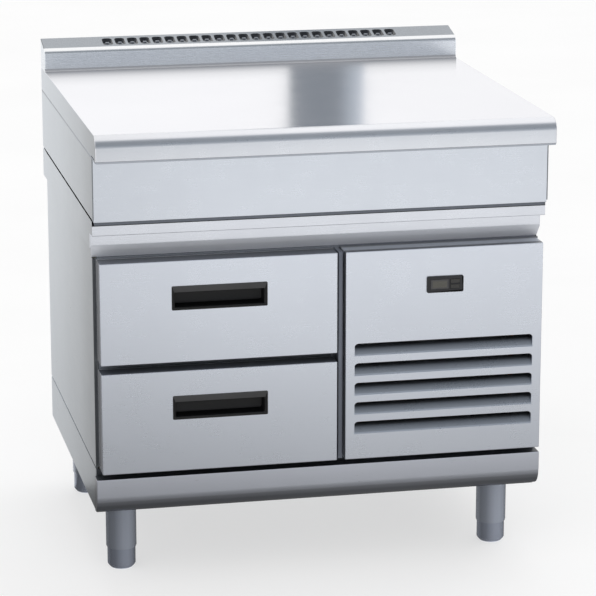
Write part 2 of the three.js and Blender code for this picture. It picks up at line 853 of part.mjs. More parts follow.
// Legs: a flanged tube with an internal nut disc, and a foot on a stem that screws into it.
for (const [place, [x, y]] of Object.entries(leg_places)) {
  const top = leg_plate_z - seat_gap;
  const stem_bore = foot_stem_radius + slide_play;
  const nut_top = leg_bottom + leg_bottom_chamfer + leg_nut_height;
  const tube = cut(
    join(
      turned([x, y], [
        [0, leg_bottom],
        [leg_radius - leg_bottom_chamfer / 2, leg_bottom],
        [leg_radius, leg_bottom + leg_bottom_chamfer],
        [leg_radius, top - leg_flange_sheet / 2],
        [0, top - leg_flange_sheet / 2],
      ]),
      box([x - leg_flange_size / 2, x + leg_flange_size / 2],
        [y - leg_flange_size / 2, y + leg_flange_size / 2],
        [top - leg_flange_sheet, top])),
    rod('z', [x, y], leg_radius - leg_wall, [nut_top, top - leg_flange_sheet]),
    rod('z', [x, y], stem_bore, [leg_bottom - cut_overrun, nut_top + cut_overrun]));
  piece(`leg_${place}`, tube, dark_steel);
}
for (const [place, [x, y]] of Object.entries(leg_places)) {
  const foot_top = leg_bottom - seat_gap;
  const stem_top = leg_bottom + leg_bottom_chamfer + leg_nut_height + foot_travel + foot_stem_spare;
  piece(`foot_${place}`, turned([x, y], [
    [0, 0],
    [foot_radius - foot_chamfer, 0],
    [foot_radius, foot_chamfer],
    [foot_radius, foot_top],
    [foot_stem_radius, foot_top],
    [foot_stem_radius, stem_top],
    [0, stem_top],
  ]), dark_steel);
}

// Face frame behind the drawer fronts, with the bright post between drawers and machine panel.
function face_frame() {
  const x = [side_return + face_side_gap - cabinet_x, post_x[1]];
  const top = slope_bottom - seat_gap;
  const sheet_y = [cabinet_front, cabinet_front + face_sheet];
  const plate = box(x, sheet_y, [fronts_bottom, top]);
  const top_return = box(x, [cabinet_front, cabinet_front + face_top_return], [top - face_sheet, top]);
  const openings = Object.values(drawer_levels).map(level => box(
    opening_x,
    [sheet_y[0] - cut_overrun, sheet_y[1] + cut_overrun],
    [level + opening_z_margin, level + front_height - opening_z_margin]));
  return cut(join(plate, top_return), ...openings);
}
piece('face_frame', face_frame(), bright_steel);

// Partition between the cold room and the machine compartment, with holes for two pipes.
const pipe_holes_y = liner_back - housing_depth / 2;
function pipe_holes(x, play) {
  return [suction_pipe_height, liquid_pipe_height].map(z => rod(
    'x', [pipe_holes_y, z], pipe_radius + play,
    [x[0] - cut_overrun, x[1] + cut_overrun], small_round_steps));
}
piece('partition_panel', cut(
  box(partition_x,
    [cabinet_front + face_top_return + seat_gap, back_panel_y[0] - seat_gap],
    [inside_bottom, inside_top]),
  ...pipe_holes(partition_x, pipe_hole_play)), galvanised);

// Inner liner, open at the front behind the two openings.
const liner_x = [opening_x[0] - inner_sheet, opening_x[1] + inner_sheet];
piece('inner_liner', cut(
  tray(liner_x, [liner_front, liner_back + inner_sheet],
    [liner_bottom - inner_sheet, liner_top + inner_sheet], inner_sheet, '-y'),
  ...pipe_holes([opening_x[1], liner_x[1]], pipe_hole_play)), inner_steel);

// Foam insulation round the liner.
const insulation_x = [-inside_x, partition_x[0] - seat_gap];
piece('insulation', cut(
  box(insulation_x,
    [cabinet_front + face_top_return + insulation_front_gap, back_panel_y[0] - seat_gap],
    [inside_bottom, inside_top]),
  box([liner_x[0] - seat_gap, liner_x[1] + seat_gap],
    [cabinet_front, liner_back + inner_sheet + seat_gap],
    [liner_bottom - inner_sheet - seat_gap, liner_top + inner_sheet + seat_gap]),
  ...pipe_holes([liner_x[1], insulation_x[1]], pipe_hole_play)), foam);

// Drawer slides. Each rail is an outline in X and Z for the left side, mirrored for the right.
const rail_back_x = opening_x[0] + seat_gap;
const middle_back_x = rail_back_x + slide_sheet + slide_play;
const moving_back_x = middle_back_x + slide_sheet + slide_play;
const box_x = [opening_x[0] + box_side_gap, opening_x[1] - box_side_gap];
const box_height = front_height - 2 * opening_z_margin - box_clear_below - box_clear_above;
const fixed_half = slide_height / 2;
const middle_half = fixed_half - slide_sheet - slide_play;
const moving_half = middle_half - slide_sheet - slide_play;
const slide_front = liner_front + seat_gap;

function channel(back_x, front_x, half_height, centre_z) {
  return [
    [back_x, centre_z - half_height],
    [front_x, centre_z - half_height],
    [front_x, centre_z - half_height + slide_sheet],
    [back_x + slide_sheet, centre_z - half_height + slide_sheet],
    [back_x + slide_sheet, centre_z + half_height - slide_sheet],
    [front_x, centre_z + half_height - slide_sheet],
    [front_x, centre_z + half_height],
    [back_x, centre_z + half_height],
  ];
}

function mirrored(outline, side) {
  if (side === 'left') return outline;
  return outline.map(([x, z]) => [2 * drawer_centre - x, z]).reverse();
}

function box_bottom(level) {
  return level + opening_z_margin + box_clear_below;
}

function slide_centre(level) {
  return box_bottom(level) + box_height / 2;
}

// Gasket, front skin, inner panel, handle pull, box and slides of each drawer.
const skin_y = [fronts_y, fronts_y + front_depth];
const liner_plate_y = [skin_y[1] + seat_gap, skin_y[1] + seat_gap + liner_plate];
const gasket_y = [liner_plate_y[1] + seat_gap, seat_plane];
const handle_x = [drawer_centre - handle_width / 2, drawer_centre + handle_width / 2];
const box_y = [liner_plate_y[1] + seat_gap, housing_y[0] - box_back_gap];
const drawer_travel = box_y[1] - box_y[0] - drawer_hold;
const slide_length = drawer_travel + slide_overlap;

function inset_ring(x, z, y, inset, width) {
  const grow = amount => [[x[0] + amount, x[1] - amount], [z[0] + amount, z[1] - amount]];
  const [outer_x, outer_z] = grow(inset);
  const [inner_x, inner_z] = grow(inset + width);
  return cut(
    box(outer_x, y, outer_z),
    box(inner_x, [y[0] - cut_overrun, y[1] + cut_overrun], inner_z));
}

function handle_pull(z) {
  const cup_x = [handle_x[0] + handle_flange, handle_x[1] - handle_flange];
  const cup_z = [z[0] + handle_flange, z[1] - handle_flange];
  const flange_y = [fronts_y - seat_gap - handle_flange_depth, fronts_y - seat_gap];
  const back = fronts_y + handle_depth;
  const pocket_x = [handle_x[0] + handle_pocket_border, handle_x[1] - handle_pocket_border];
  const mouth = [z[0] + handle_pocket_border, z[1] - handle_lip_drop];
  const ceiling = cup_z[1] - handle_wall;
  const pocket = [
    [flange_y[0] - cut_overrun, mouth[0]],
    [back - handle_wall, mouth[0] + handle_floor_rise],
    [back - handle_wall, ceiling],
    [flange_y[1] + handle_lip_thickness + handle_wall, ceiling],
    [flange_y[1] + handle_lip_thickness, mouth[1]],
    [flange_y[0] - cut_overrun, mouth[1]],
  ];
  const lip_slope = [
    [flange_y[0] - cut_overrun, z[1] - handle_wall],
    [flange_y[0], z[1] - handle_wall],
    [flange_y[1] + handle_lip_thickness / 2, mouth[1] - cut_overrun],
    [flange_y[0] - cut_overrun, mouth[1] - cut_overrun],
  ];
  return cut(
    join(box(handle_x, flange_y, z), box(cup_x, [flange_y[0], back], cup_z)),
    prism('x', pocket, pocket_x),
    prism('x', lip_slope, pocket_x));
}

function drawer_box(level) {
  const bottom = box_bottom(level);
  const tub = tray(box_x, box_y, [bottom, bottom + box_height], inner_sheet, '+z');
  const rails = ['left', 'right'].map(side => prism(
    'y',
    mirrored(channel(moving_back_x, box_x[0] + inner_sheet / 2, moving_half, slide_centre(level)), side),
    [box_y[0], box_y[0] + slide_length]));
  return join(tub, ...rails);
}

for (const [place, level] of Object.entries(drawer_levels)) {
  const z = [level, level + front_height];
  const handle_z = [z[1] - handle_top_margin - handle_height, z[1] - handle_top_margin];
  const handle_hole = box(
    [handle_x[0] + handle_flange - seat_gap, handle_x[1] - handle_flange + seat_gap],
    [fronts_y - cut_overrun, fronts_y + front_sheet + cut_overrun],
    [handle_z[0] + handle_flange - seat_gap, handle_z[1] - handle_flange + seat_gap]);
  const skin = cut(tray(drawer_x, skin_y, z, front_sheet, '+y'), handle_hole);
  piece(`drawer_front_${place}`, skin, bright_steel);
  const rim_inset = front_sheet + seat_gap;
  const rim_y = [liner_plate_y[0] - liner_rim_depth, liner_plate_y[1]];
  piece(`drawer_liner_${place}`, join(
    box(drawer_x, liner_plate_y, z),
    inset_ring(drawer_x, z, rim_y, rim_inset, liner_rim_wall)), inner_steel);
  piece(`gasket_${place}`, inset_ring(drawer_x, z, gasket_y, gasket_inset, gasket_width), rubber);
  piece(`handle_${place}`, handle_pull(handle_z), black_plastic);
  piece(`drawer_box_${place}`, drawer_box(level), inner_steel);
  for (const side of ['left', 'right']) {
    const outline = mirrored(
      channel(middle_back_x, middle_back_x + middle_rail_depth, middle_half, slide_centre(level)), side);
    const rail = prism('y', outline, [slide_front, slide_front + slide_length]);
    piece(`slide_middle_${place}_${side}`, rail, galvanised);
  }
}

// Fixed rails of both drawers on two upright posts, one rack for each side of the liner.
for (const side of ['left', 'right']) {
  const rails = Object.values(drawer_levels).map(level => prism(
    'y',
    mirrored(channel(rail_back_x, rail_back_x + fixed_rail_depth, fixed_half, slide_centre(level)), side),
    [slide_front, slide_front + slide_length]));
  const post_z = [liner_bottom + rack_end_margin, liner_top - rack_end_margin];
  const post_outline = mirrored(rectangle([rail_back_x, rail_back_x + slide_sheet], post_z), side);
  const post_front = slide_front + rack_post_margin;
  const post_back = slide_front + slide_length - rack_post_margin - rack_post_width;
  const posts = [post_front, post_back].map(y => prism('y', post_outline, [y, y + rack_post_width]));
  piece(`slide_rack_${side}`, join(...rails, ...posts), galvanised);
}

// Machine panel: a deep tray with pressed louvres and an opening for the controller.
const controller_x = [machine_centre - controller_width / 2, machine_centre + controller_width / 2];
const controller_z = [
  fronts_top - controller_top_margin - controller_height,
  fronts_top - controller_top_margin,
];
const controller_body_x = [controller_x[0] + controller_border, controller_x[1] - controller_border];
const controller_body_z = [controller_z[0] + controller_border, controller_z[1] - controller_border];

const louvre_x = [machine_panel_x[0] + louvre_side_margin, machine_panel_x[1] - louvre_side_margin];

function louvre_outline(top) {
  const radius = louvre_corner_radius;
  return [
    [louvre_x[0], top - louvre_height],
    [louvre_x[1], top - louvre_height],
    ...arc([louvre_x[1] - radius, top - radius], radius, 0, Math.PI / 2, louvre_corner_steps),
    ...arc([louvre_x[0] + radius, top - radius], radius, Math.PI / 2, Math.PI, louvre_corner_steps),
  ];
}

function louvre_blade(top) {
  const bottom = top - louvre_height;
  const mouth_z = top - louvre_mouth;
  const deep = fronts_y + louvre_recess;
  return prism('x', [
    [fronts_y, bottom - front_sheet],
    [fronts_y + front_sheet, bottom - front_sheet],
    [deep, mouth_z],
    [deep - front_sheet, mouth_z],
    [fronts_y, bottom + front_sheet / 2],
  ], louvre_x);
}

function louvre_cheeks(top) {
  const bottom = top - louvre_height;
  const outline = [
    [fronts_y + front_sheet / 2, bottom],
    [fronts_y + louvre_recess, top - louvre_mouth],
    [fronts_y + louvre_recess, top],
    [fronts_y + front_sheet / 2, top],
  ];
  return louvre_x.map(x => prism('x', outline, [x - front_sheet / 2, x + front_sheet / 2]));
}

function louvre_panel() {
  const shell = tray(
    machine_panel_x, [fronts_y, seat_plane], [fronts_bottom, fronts_top], front_sheet, '+y');
  const louvre_top = fronts_top - louvre_top_margin;
  const louvre_room = louvre_top - louvre_height - fronts_bottom - louvre_bottom_margin;
  const louvre_count = Math.floor(louvre_room / louvre_pitch) + 1;
  const tops = Array.from({ length: louvre_count }, (_, i) => louvre_top - i * louvre_pitch);
  const tool_y = [fronts_y - cut_overrun, fronts_y + front_sheet + cut_overrun];
  const slots = tops.map(top => prism('y', louvre_outline(top), tool_y));
  const controller_hole = box(
    [controller_body_x[0] - seat_gap, controller_body_x[1] + seat_gap],
    tool_y,
    [controller_body_z[0] - seat_gap, controller_body_z[1] + seat_gap]);
  return join(
    cut(shell, ...slots, controller_hole),
    ...tops.map(louvre_blade),
    ...tops.flatMap(louvre_cheeks));
}
piece('louvre_panel', louvre_panel(), bright_steel);

// Controller: case with a bezel, a display lens and two keys in their own pockets.
const bezel_y = [fronts_y - seat_gap - controller_proud, fronts_y - seat_gap];
const bezel_face = bezel_y[0] + controller_face_recess;
const lens_x = [machine_centre + lens_shift - lens_width / 2, machine_centre + lens_shift + lens_width / 2];
const controller_middle = (controller_z[0] + controller_z[1]) / 2;
const lens_z = [controller_middle - lens_height / 2, controller_middle + lens_height / 2];
const key_x = [machine_centre + key_shift - key_width / 2, machine_centre + key_shift + key_width / 2];
const key_middles = {
  upper: controller_middle + key_spacing / 2,
  lower: controller_middle - key_spacing / 2,
};

function around(span, clearance) {
  return [span[0] - clearance, span[1] + clearance];
}

function controller_case() {
  const bezel = box(controller_x, bezel_y, controller_z);
  const body = box(controller_body_x, [bezel_y[0], fronts_y + controller_depth], controller_body_z);
  const face_cut = box(
    around(controller_x, -controller_border),
    [bezel_y[0] - cut_overrun, bezel_face],
    around(controller_z, -controller_border));
  const lens_cut = box(
    around(lens_x, seat_gap), [bezel_face - cut_overrun, bezel_face + lens_depth], around(lens_z, seat_gap));
  const key_cuts = Object.values(key_middles).map(middle => box(
    around(key_x, key_clearance),
    [bezel_face - cut_overrun, bezel_face + key_pocket_depth],
    around([middle - key_height / 2, middle + key_height / 2], key_clearance)));
  return cut(join(bezel, body), face_cut, lens_cut, ...key_cuts);
}
piece('controller_case', controller_case(), dark_plastic);
piece('display_lens', box(
  lens_x, [bezel_face, bezel_face + lens_depth - seat_gap], lens_z), smoked_lens);
for (const [place, middle] of Object.entries(key_middles)) {
  piece(`controller_key_${place}`, box(
    key_x,
    [bezel_face - key_proud, bezel_face - key_proud + key_depth],
    [middle - key_height / 2, middle + key_height / 2]), grey_plastic);
}

// Unit tray that carries the refrigeration unit.
const bay_x = [partition_x[1], side_inner_x];
const tray_x = [bay_x[0] + tray_margin, bay_x[1] - tray_margin];
const tray_y = [inside_front + tray_margin, back_panel_y[0] - tray_back_gap];
const tray_floor = inside_bottom + outer_sheet;
piece('unit_tray', tray(
  tray_x, tray_y, [inside_bottom, inside_bottom + tray_wall_height], outer_sheet, '+z'), galvanised);

// Condenser with an inlet stub on top and an outlet stub at its right end.
const condenser_x = [machine_panel_x[0] + condenser_side_margin, machine_panel_x[1] - condenser_side_margin];
const condenser_y = [
  inside_front + condenser_front_gap,
  inside_front + condenser_front_gap + condenser_depth,
];
const condenser_z = [tray_floor + seat_gap, tray_floor + seat_gap + condenser_height];
const condenser_middle_y = (condenser_y[0] + condenser_y[1]) / 2;
const inlet_x = condenser_x[0] + compressor_stub_spread;
const outlet_z = condenser_z[0] + compressor_stub_spread + pipe_bend;
piece('condenser', join(
  finned_block(condenser_x, condenser_y, condenser_z, condenser_core, fin_count),
  rod('z', [inlet_x, condenser_middle_y], pipe_radius,
    [condenser_z[1] - cut_overrun, condenser_z[1] + stub_length], pipe_sides),
  rod('x', [condenser_middle_y, outlet_z], pipe_radius,
    [condenser_x[1] - cut_overrun, condenser_x[1] + stub_length], pipe_sides)), aluminium);

// Fan shroud behind the condenser, with a ring round the fan and a cradle for the motor.
const fan_centre_z = (condenser_z[0] + condenser_z[1]) / 2;
const shroud_y = condenser_y[1] + seat_gap;
const ring_back = shroud_y + outer_sheet + shroud_ring_length;
const fan_y = (shroud_y + outer_sheet + ring_back - bracket_arm_thickness) / 2;
const motor_front = ring_back - bracket_arm_thickness;
const cradle_inner = motor_radius + seat_gap;

function fan_shroud() {
  const centre = [machine_centre, fan_centre_z];
  const plate = box(condenser_x, [shroud_y, shroud_y + outer_sheet], condenser_z);
  const ring = rod('y', centre, fan_opening_radius + outer_sheet, [shroud_y, ring_back]);
  const cradle = rod('y', centre, cradle_inner + cradle_wall, [motor_front, motor_front + cradle_length]);
  const arms = Array.from({ length: bracket_arm_count }, (_, i) => {
    const arm = box_geometry(
      [cradle_inner + cradle_wall / 2, fan_opening_radius + outer_sheet / 2],
      [motor_front, ring_back],
      [-bracket_arm_width / 2, bracket_arm_width / 2]);
    arm.rotateY(Math.PI / 2 + 2 * Math.PI * i / bracket_arm_count);
    return solid_of(arm.translate(machine_centre, 0, fan_centre_z));
  });
  const tool_y = [shroud_y - cut_overrun, ring_back + cut_overrun];
  return cut(
    join(cut(join(plate, ring), rod('y', centre, fan_opening_radius, tool_y)), cradle, ...arms),
    rod('y', centre, cradle_inner, [motor_front - cut_overrun, motor_front + cradle_length + cut_overrun]));
}
piece('fan_shroud', fan_shroud(), black_paint);

piece('fan_motor', cut(
  rod('y', [machine_centre, fan_centre_z], motor_radius, [motor_front, motor_front + motor_length]),
  rod('y', [machine_centre, fan_centre_z], fan_shaft_radius + fan_shaft_play,
    [motor_front - cut_overrun, motor_front + motor_bore_depth], small_round_steps)), black_paint);

piece('condenser_fan', fan(
  [machine_centre, fan_y, fan_centre_z],
  fan_hub_radius, fan_hub_length, fan_radius, fan_blade_chord, fan_shaft_radius, fan_shaft_length),
aluminium);

// Compressor: a domed pot, hollow from below, on a plate with four feet, its terminal box and two stubs.
const compressor_y = back_panel_y[0] - compressor_back_gap;
const compressor_low = tray_floor + seat_gap;
const compressor_plate_z = compressor_low + compressor_foot_height;
const pot_bottom = compressor_plate_z + compressor_base_sheet / 2;
const pot_top = compressor_plate_z + compressor_base_sheet + compressor_height;
const stub_top = pot_top + compressor_stub_height;
const discharge_x = machine_centre - compressor_stub_spread;
const suction_x = machine_centre + compressor_stub_spread;

function compressor() {
  const pot = turned([machine_centre, compressor_y], [
    [0, pot_bottom],
    [compressor_radius * dome_shoulder_share, pot_bottom],
    [compressor_radius, pot_bottom + compressor_dome / 2],
    [compressor_radius, pot_top - compressor_dome],
    [compressor_radius * dome_shoulder_share, pot_top - compressor_dome / 2],
    [compressor_radius * dome_top_share, pot_top],
    [0, pot_top],
  ]);
  const half_base = [compressor_base_width / 2, compressor_base_depth / 2];
  const plate = box(
    [machine_centre - half_base[0], machine_centre + half_base[0]],
    [compressor_y - half_base[1], compressor_y + half_base[1]],
    [compressor_plate_z, compressor_plate_z + compressor_base_sheet]);
  const feet = [-1, 1].flatMap(side_x => [-1, 1].map(side_y => rod(
    'z',
    [
      machine_centre + side_x * (half_base[0] - compressor_foot_radius),
      compressor_y + side_y * (half_base[1] - compressor_foot_radius),
    ],
    compressor_foot_radius,
    [compressor_low, compressor_plate_z + compressor_base_sheet / 2],
    small_round_steps)));
  const terminal_box = box(
    [machine_centre + compressor_radius - compressor_dome / 2,
      machine_centre + compressor_radius + terminal_box_width],
    [compressor_y - terminal_box_depth / 2, compressor_y + terminal_box_depth / 2],
    [pot_bottom + compressor_dome, pot_bottom + compressor_dome + terminal_box_height]);
  const stubs = [discharge_x, suction_x].map(x => rod(
    'z', [x, compressor_y], pipe_radius, [pot_top - compressor_dome, stub_top], pipe_sides));
  const hollow = rod(
    'z', [machine_centre, compressor_y], compressor_hollow_radius,
    [compressor_low - cut_overrun, compressor_plate_z + compressor_hollow_height]);
  return cut(join(pot, plate, ...feet, terminal_box, ...stubs), hollow);
}
piece('compressor', compressor(), black_paint);

// Pipes: discharge to the condenser, suction from the evaporator, liquid line with the filter drier.
const housing_x = [opening_x[0] + housing_side_margin, opening_x[1] - housing_side_margin];
const coil_x = [housing_x[0] + coil_margin, housing_x[1] - coil_margin];
const evaporator_stub_end = coil_x[1] + stub_length;
piece('discharge_pipe', pipe([
  [discharge_x, compressor_y, stub_top + seat_gap],
  [discharge_x, compressor_y, stub_top + discharge_rise],
  [discharge_x, condenser_middle_y, stub_top + discharge_rise],
  [inlet_x, condenser_middle_y, stub_top + discharge_rise],
  [inlet_x, condenser_middle_y, condenser_z[1] + stub_length + seat_gap],
], pipe_radius), copper);

piece('suction_pipe', pipe([
  [evaporator_stub_end + seat_gap, pipe_holes_y, suction_pipe_height],
  [suction_x, pipe_holes_y, suction_pipe_height],
  [suction_x, pipe_holes_y, stub_top + suction_rise],
  [suction_x, compressor_y, stub_top + suction_rise],
  [suction_x, compressor_y, stub_top + seat_gap],
], pipe_radius), copper);

const liquid_x = bay_x[1] - liquid_pipe_side_gap;
const drier_start = tray_y[0] + (tray_y[1] - tray_y[0]) * drier_place_share;
const drier_y = [drier_start, drier_start + drier_length];
piece('filter_drier', join(
  pipe([
    [condenser_x[1] + stub_length + seat_gap, condenser_middle_y, outlet_z],
    [liquid_x, condenser_middle_y, outlet_z],
    [liquid_x, pipe_holes_y, outlet_z],
    [liquid_x, pipe_holes_y, liquid_pipe_height],
    [evaporator_stub_end + seat_gap, pipe_holes_y, liquid_pipe_height],
  ], pipe_radius),
  rod('y', [liquid_x, outlet_z], drier_radius, drier_y, small_round_steps)), copper);

// Electrical box on the right side panel, and the gland where the supply cable enters at the back.
const electrical_y = inside_front + electrical_box_front_gap;
const electrical_top = inside_top - electrical_box_top_gap;
piece('electrical_box', box(
  [bay_x[1] - seat_gap - electrical_box_width, bay_x[1] - seat_gap],
  [electrical_y, electrical_y + electrical_box_depth],
  [electrical_top - electrical_box_height, electrical_top]), grey_plastic);

function cable_gland() {
  const centre = [gland_x, gland_height];
  const flange_starts = [
    back_panel_y[1] + seat_gap,
    back_panel_y[0] - seat_gap - gland_flange_length,
  ];
  const middle = (back_panel_y[0] + back_panel_y[1]) / 2;
  const body = [middle - gland_length / 2, middle + gland_length / 2];
  const flanges = flange_starts.map(start => rod(
    'y', centre, gland_flange_radius, [start, start + gland_flange_length], gland_nut_sides));
  return cut(
    join(rod('y', centre, gland_radius, body, small_round_steps), ...flanges),
    rod('y', centre, gland_bore_radius, [body[0] - cut_overrun, body[1] + cut_overrun], small_round_steps));
}
piece('cable_gland', cable_gland(), black_plastic);

// Evaporator at the back of the liner: housing with motor and drip tray, coil and fan.
const cold_fan_z = housing_z[1] - cold_fan_top_gap;
const cold_fan_y = housing_y[0] + cold_fan_setback;
const cold_hub_back = cold_fan_y + cold_fan_hub_length / 2;
const cold_motor_front = cold_hub_back + cold_shaft_length - cold_motor_bore_depth + seat_gap;

function evaporator_housing() {
  const centre = [drawer_centre, cold_fan_z];
  const shell = tray(housing_x, housing_y, housing_z, inner_sheet, '+y');
  const front_tool = [housing_y[0] - cut_overrun, housing_y[0] + inner_sheet + cut_overrun];
  const fan_hole = rod('y', centre, cold_fan_opening_radius, front_tool);
  const air_inlet = box(
    [housing_x[0] + inlet_margin, housing_x[1] - inlet_margin],
    front_tool,
    [housing_z[0] + inlet_margin, housing_z[1] - inlet_top_gap]);
  const side_holes = [suction_pipe_height, liquid_pipe_height].map(z => rod(
    'x', [pipe_holes_y, z], pipe_radius + pipe_hole_play,
    [housing_x[1] - inner_sheet - cut_overrun, housing_x[1] + cut_overrun], small_round_steps));
  const motor_y = [cold_motor_front, cold_motor_front + cold_motor_length];
  const motor = cut(
    rod('y', centre, cold_motor_radius, motor_y),
    rod('y', centre, cold_shaft_radius + fan_shaft_play,
      [motor_y[0] - cut_overrun, motor_y[0] + cold_motor_bore_depth + cut_overrun], small_round_steps));
  const arm = box(
    [drawer_centre - cold_arm_width / 2, drawer_centre + cold_arm_width / 2],
    [motor_y[0] + cold_motor_bore_depth, motor_y[1] - cold_motor_bore_depth],
    [cold_fan_z + cold_motor_radius / 2, housing_z[1]]);
  return join(cut(shell, fan_hole, air_inlet, ...side_holes), motor, arm);
}
piece('evaporator_housing', evaporator_housing(), inner_steel);

const coil_y = [pipe_holes_y - coil_depth / 2, pipe_holes_y + coil_depth / 2];
piece('evaporator', join(
  finned_block(coil_x, coil_y, coil_z, coil_core, coil_fin_count),
  ...[suction_pipe_height, liquid_pipe_height].map(z => rod(
    'x', [pipe_holes_y, z], pipe_radius, [coil_x[1] - cut_overrun, evaporator_stub_end], pipe_sides))),
aluminium);

piece('evaporator_fan', fan(
  [drawer_centre, cold_fan_y, cold_fan_z],
  cold_fan_hub_radius, cold_fan_hub_length, cold_fan_radius, cold_fan_blade_chord,
  cold_shaft_radius, cold_shaft_length), black_plastic);

export default refrigerated_base;
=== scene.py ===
# Refrigerated base: finishes, formed sheet metal, small parts, floor, light and camera.
# Metres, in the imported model's own frame: +X right, +Y to the back, +Z up.

import json
import math

import bmesh
import bpy
from mathutils import Euler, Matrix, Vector
from mathutils.bvhtree import BVHTree


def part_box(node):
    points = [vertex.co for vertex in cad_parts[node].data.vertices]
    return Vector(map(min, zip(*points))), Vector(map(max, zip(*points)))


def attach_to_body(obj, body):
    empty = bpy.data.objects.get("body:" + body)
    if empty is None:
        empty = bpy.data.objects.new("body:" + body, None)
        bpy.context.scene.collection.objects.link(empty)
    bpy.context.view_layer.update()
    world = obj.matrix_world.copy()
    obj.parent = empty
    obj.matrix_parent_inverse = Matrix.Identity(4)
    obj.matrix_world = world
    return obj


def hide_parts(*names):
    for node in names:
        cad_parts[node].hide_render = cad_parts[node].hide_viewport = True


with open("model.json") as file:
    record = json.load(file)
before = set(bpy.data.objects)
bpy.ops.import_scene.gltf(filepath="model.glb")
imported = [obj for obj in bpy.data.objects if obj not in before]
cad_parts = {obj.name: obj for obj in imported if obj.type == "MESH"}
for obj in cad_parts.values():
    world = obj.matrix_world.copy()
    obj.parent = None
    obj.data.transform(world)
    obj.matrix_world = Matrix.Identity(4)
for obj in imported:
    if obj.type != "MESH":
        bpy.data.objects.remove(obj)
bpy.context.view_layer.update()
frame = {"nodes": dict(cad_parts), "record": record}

scene = bpy.context.scene
nodes = frame["nodes"]
record = frame["record"]
body_of = {node: body for body, members in record["behaviour"]["bodies"].items() for node in members}
slot_of = {part["node"]: part["material_slot"] for part in record["subparts"]}


# Finishes

def tone(code):
    """A colour written as six hexadecimal digits, turned into linear light."""
    parts = [int(code[i:i + 2], 16) / 255 for i in (0, 2, 4)]
    return tuple(c / 12.92 if c <= 0.04045 else ((c + 0.055) / 1.055) ** 2.4 for c in parts) + (1.0,)


def shade(code, factor):
    """A tone made lighter or darker, kept under white."""
    return tuple(min(c * factor, 0.98) for c in tone(code)[:3]) + (1.0,)


class Tree:
    """A tree of nodes. The finishes, the repeated parts and the studio's air are written with it."""

    def __init__(self, tree):
        self.tree = tree
        tree.nodes.clear()

    def put(self, kind, settings=None, **inputs):
        """Adds a node. An input is given by its name with _ for a space, or by n and its number."""
        node = self.tree.nodes.new(kind)
        for key, value in (settings or {}).items():
            setattr(node, key, value)
        for key, value in inputs.items():
            numbered = key[0] == "n" and key[1:].isdigit()
            self.set(node.inputs[int(key[1:]) if numbered else key.replace("_", " ")], value)
        return node

    def set(self, socket, value):
        if isinstance(value, bpy.types.NodeSocket):
            self.tree.links.new(value, socket)
        else:
            socket.default_value = value

    def sum(self, first, second, operation="ADD"):
        return self.put("ShaderNodeMath", {"operation": operation}, n0=first, n1=second).outputs[0]

    def times(self, first, second):
        return self.sum(first, second, "MULTIPLY")


class Recipe(Tree):
    """The node tree of one finish, with its shader and output in place."""

    def __init__(self, name):
        self.finish = bpy.data.materials.new(name)
        self.finish.use_nodes = True
        super().__init__(self.finish.node_tree)
        self.shader = self.put("ShaderNodeBsdfPrincipled")
        self.output = self.put("ShaderNodeOutputMaterial", Surface=self.shader.outputs["BSDF"])
        self.place = self.put("ShaderNodeTexCoord").outputs["Object"]

    def noise(self, scale, detail=2.0, roughness=0.5, stretch=None):
        place = self.place
        if stretch:
            place = self.put("ShaderNodeMapping", Vector=place, Scale=stretch).outputs["Vector"]
        made = self.put("ShaderNodeTexNoise", Vector=place, Scale=scale, Detail=detail, Roughness=roughness)
        return made.outputs["Fac"]

    def spread(self, value, low, high, start=0.3, end=0.7):
        return self.put("ShaderNodeMapRange", n0=value, n1=start, n2=end, n3=low, n4=high).outputs[0]

    def blend(self, share, first, second, mode="MIX"):
        settings = {"data_type": "RGBA", "blend_type": mode}
        return self.put("ShaderNodeMix", settings, n0=share, n6=first, n7=second).outputs[2]

    def edges(self, radius):
        """1 on sharp edges and corners, 0 on flats."""
        round_normal = self.put("ShaderNodeBevel", {"samples": 4}, Radius=radius).outputs[0]
        true_normal = self.put("ShaderNodeNewGeometry").outputs["Normal"]
        flatness = self.put("ShaderNodeVectorMath", {"operation": "DOT_PRODUCT"}, n0=round_normal, n1=true_normal)
        return self.spread(flatness.outputs["Value"], 1.0, 0.0, 0.90, 0.995)

    def ramp(self, value, stops, tint=(1.0, 1.0, 1.0)):
        """A level that changes with a value, from (value, level) stops. Levels between black and white
        lean towards the tint."""
        low, high = stops[0][0], stops[-1][0]
        ramp = self.put("ShaderNodeValToRGB", Fac=self.spread(value, 0.0, 1.0, low, high))
        marks = ramp.color_ramp.elements
        for i, (spot, level) in enumerate(stops):
            mark = marks[i] if i < 2 else marks.new(1.0)
            mark.position = (spot - low) / (high - low)
            mark.color = tuple(level + (lean - 1) * level * (1 - level) * 1.5 for lean in tint) + (1.0,)
        return ramp.outputs[0]

    def fade(self, colour, source, axis, stops):
        """A colour that gets darker along one axis of a place or a normal, from (value, factor) stops."""
        value = self.put("ShaderNodeSeparateXYZ", Vector=source).outputs[axis]
        return self.blend(1.0, colour, self.ramp(value, stops), "MULTIPLY")

    def coat(self, colour, roughness, metallic=0.0, bump=None, strength=0.0, depth=0.0):
        """Sets the shader's colour, roughness, share of metal and bump, and hands over the finish."""
        for name, value in (("Base Color", colour), ("Roughness", roughness), ("Metallic", metallic)):
            self.set(self.shader.inputs[name], value)
        if bump is not None:
            self.set(self.shader.inputs["Normal"], self.put(
                "ShaderNodeBump", Height=bump, Strength=strength, Distance=depth).outputs["Normal"])
        return self.finish


GRAINS = {"x": (1, 130, 130), "y": (130, 1, 130), "z": (130, 130, 1)}


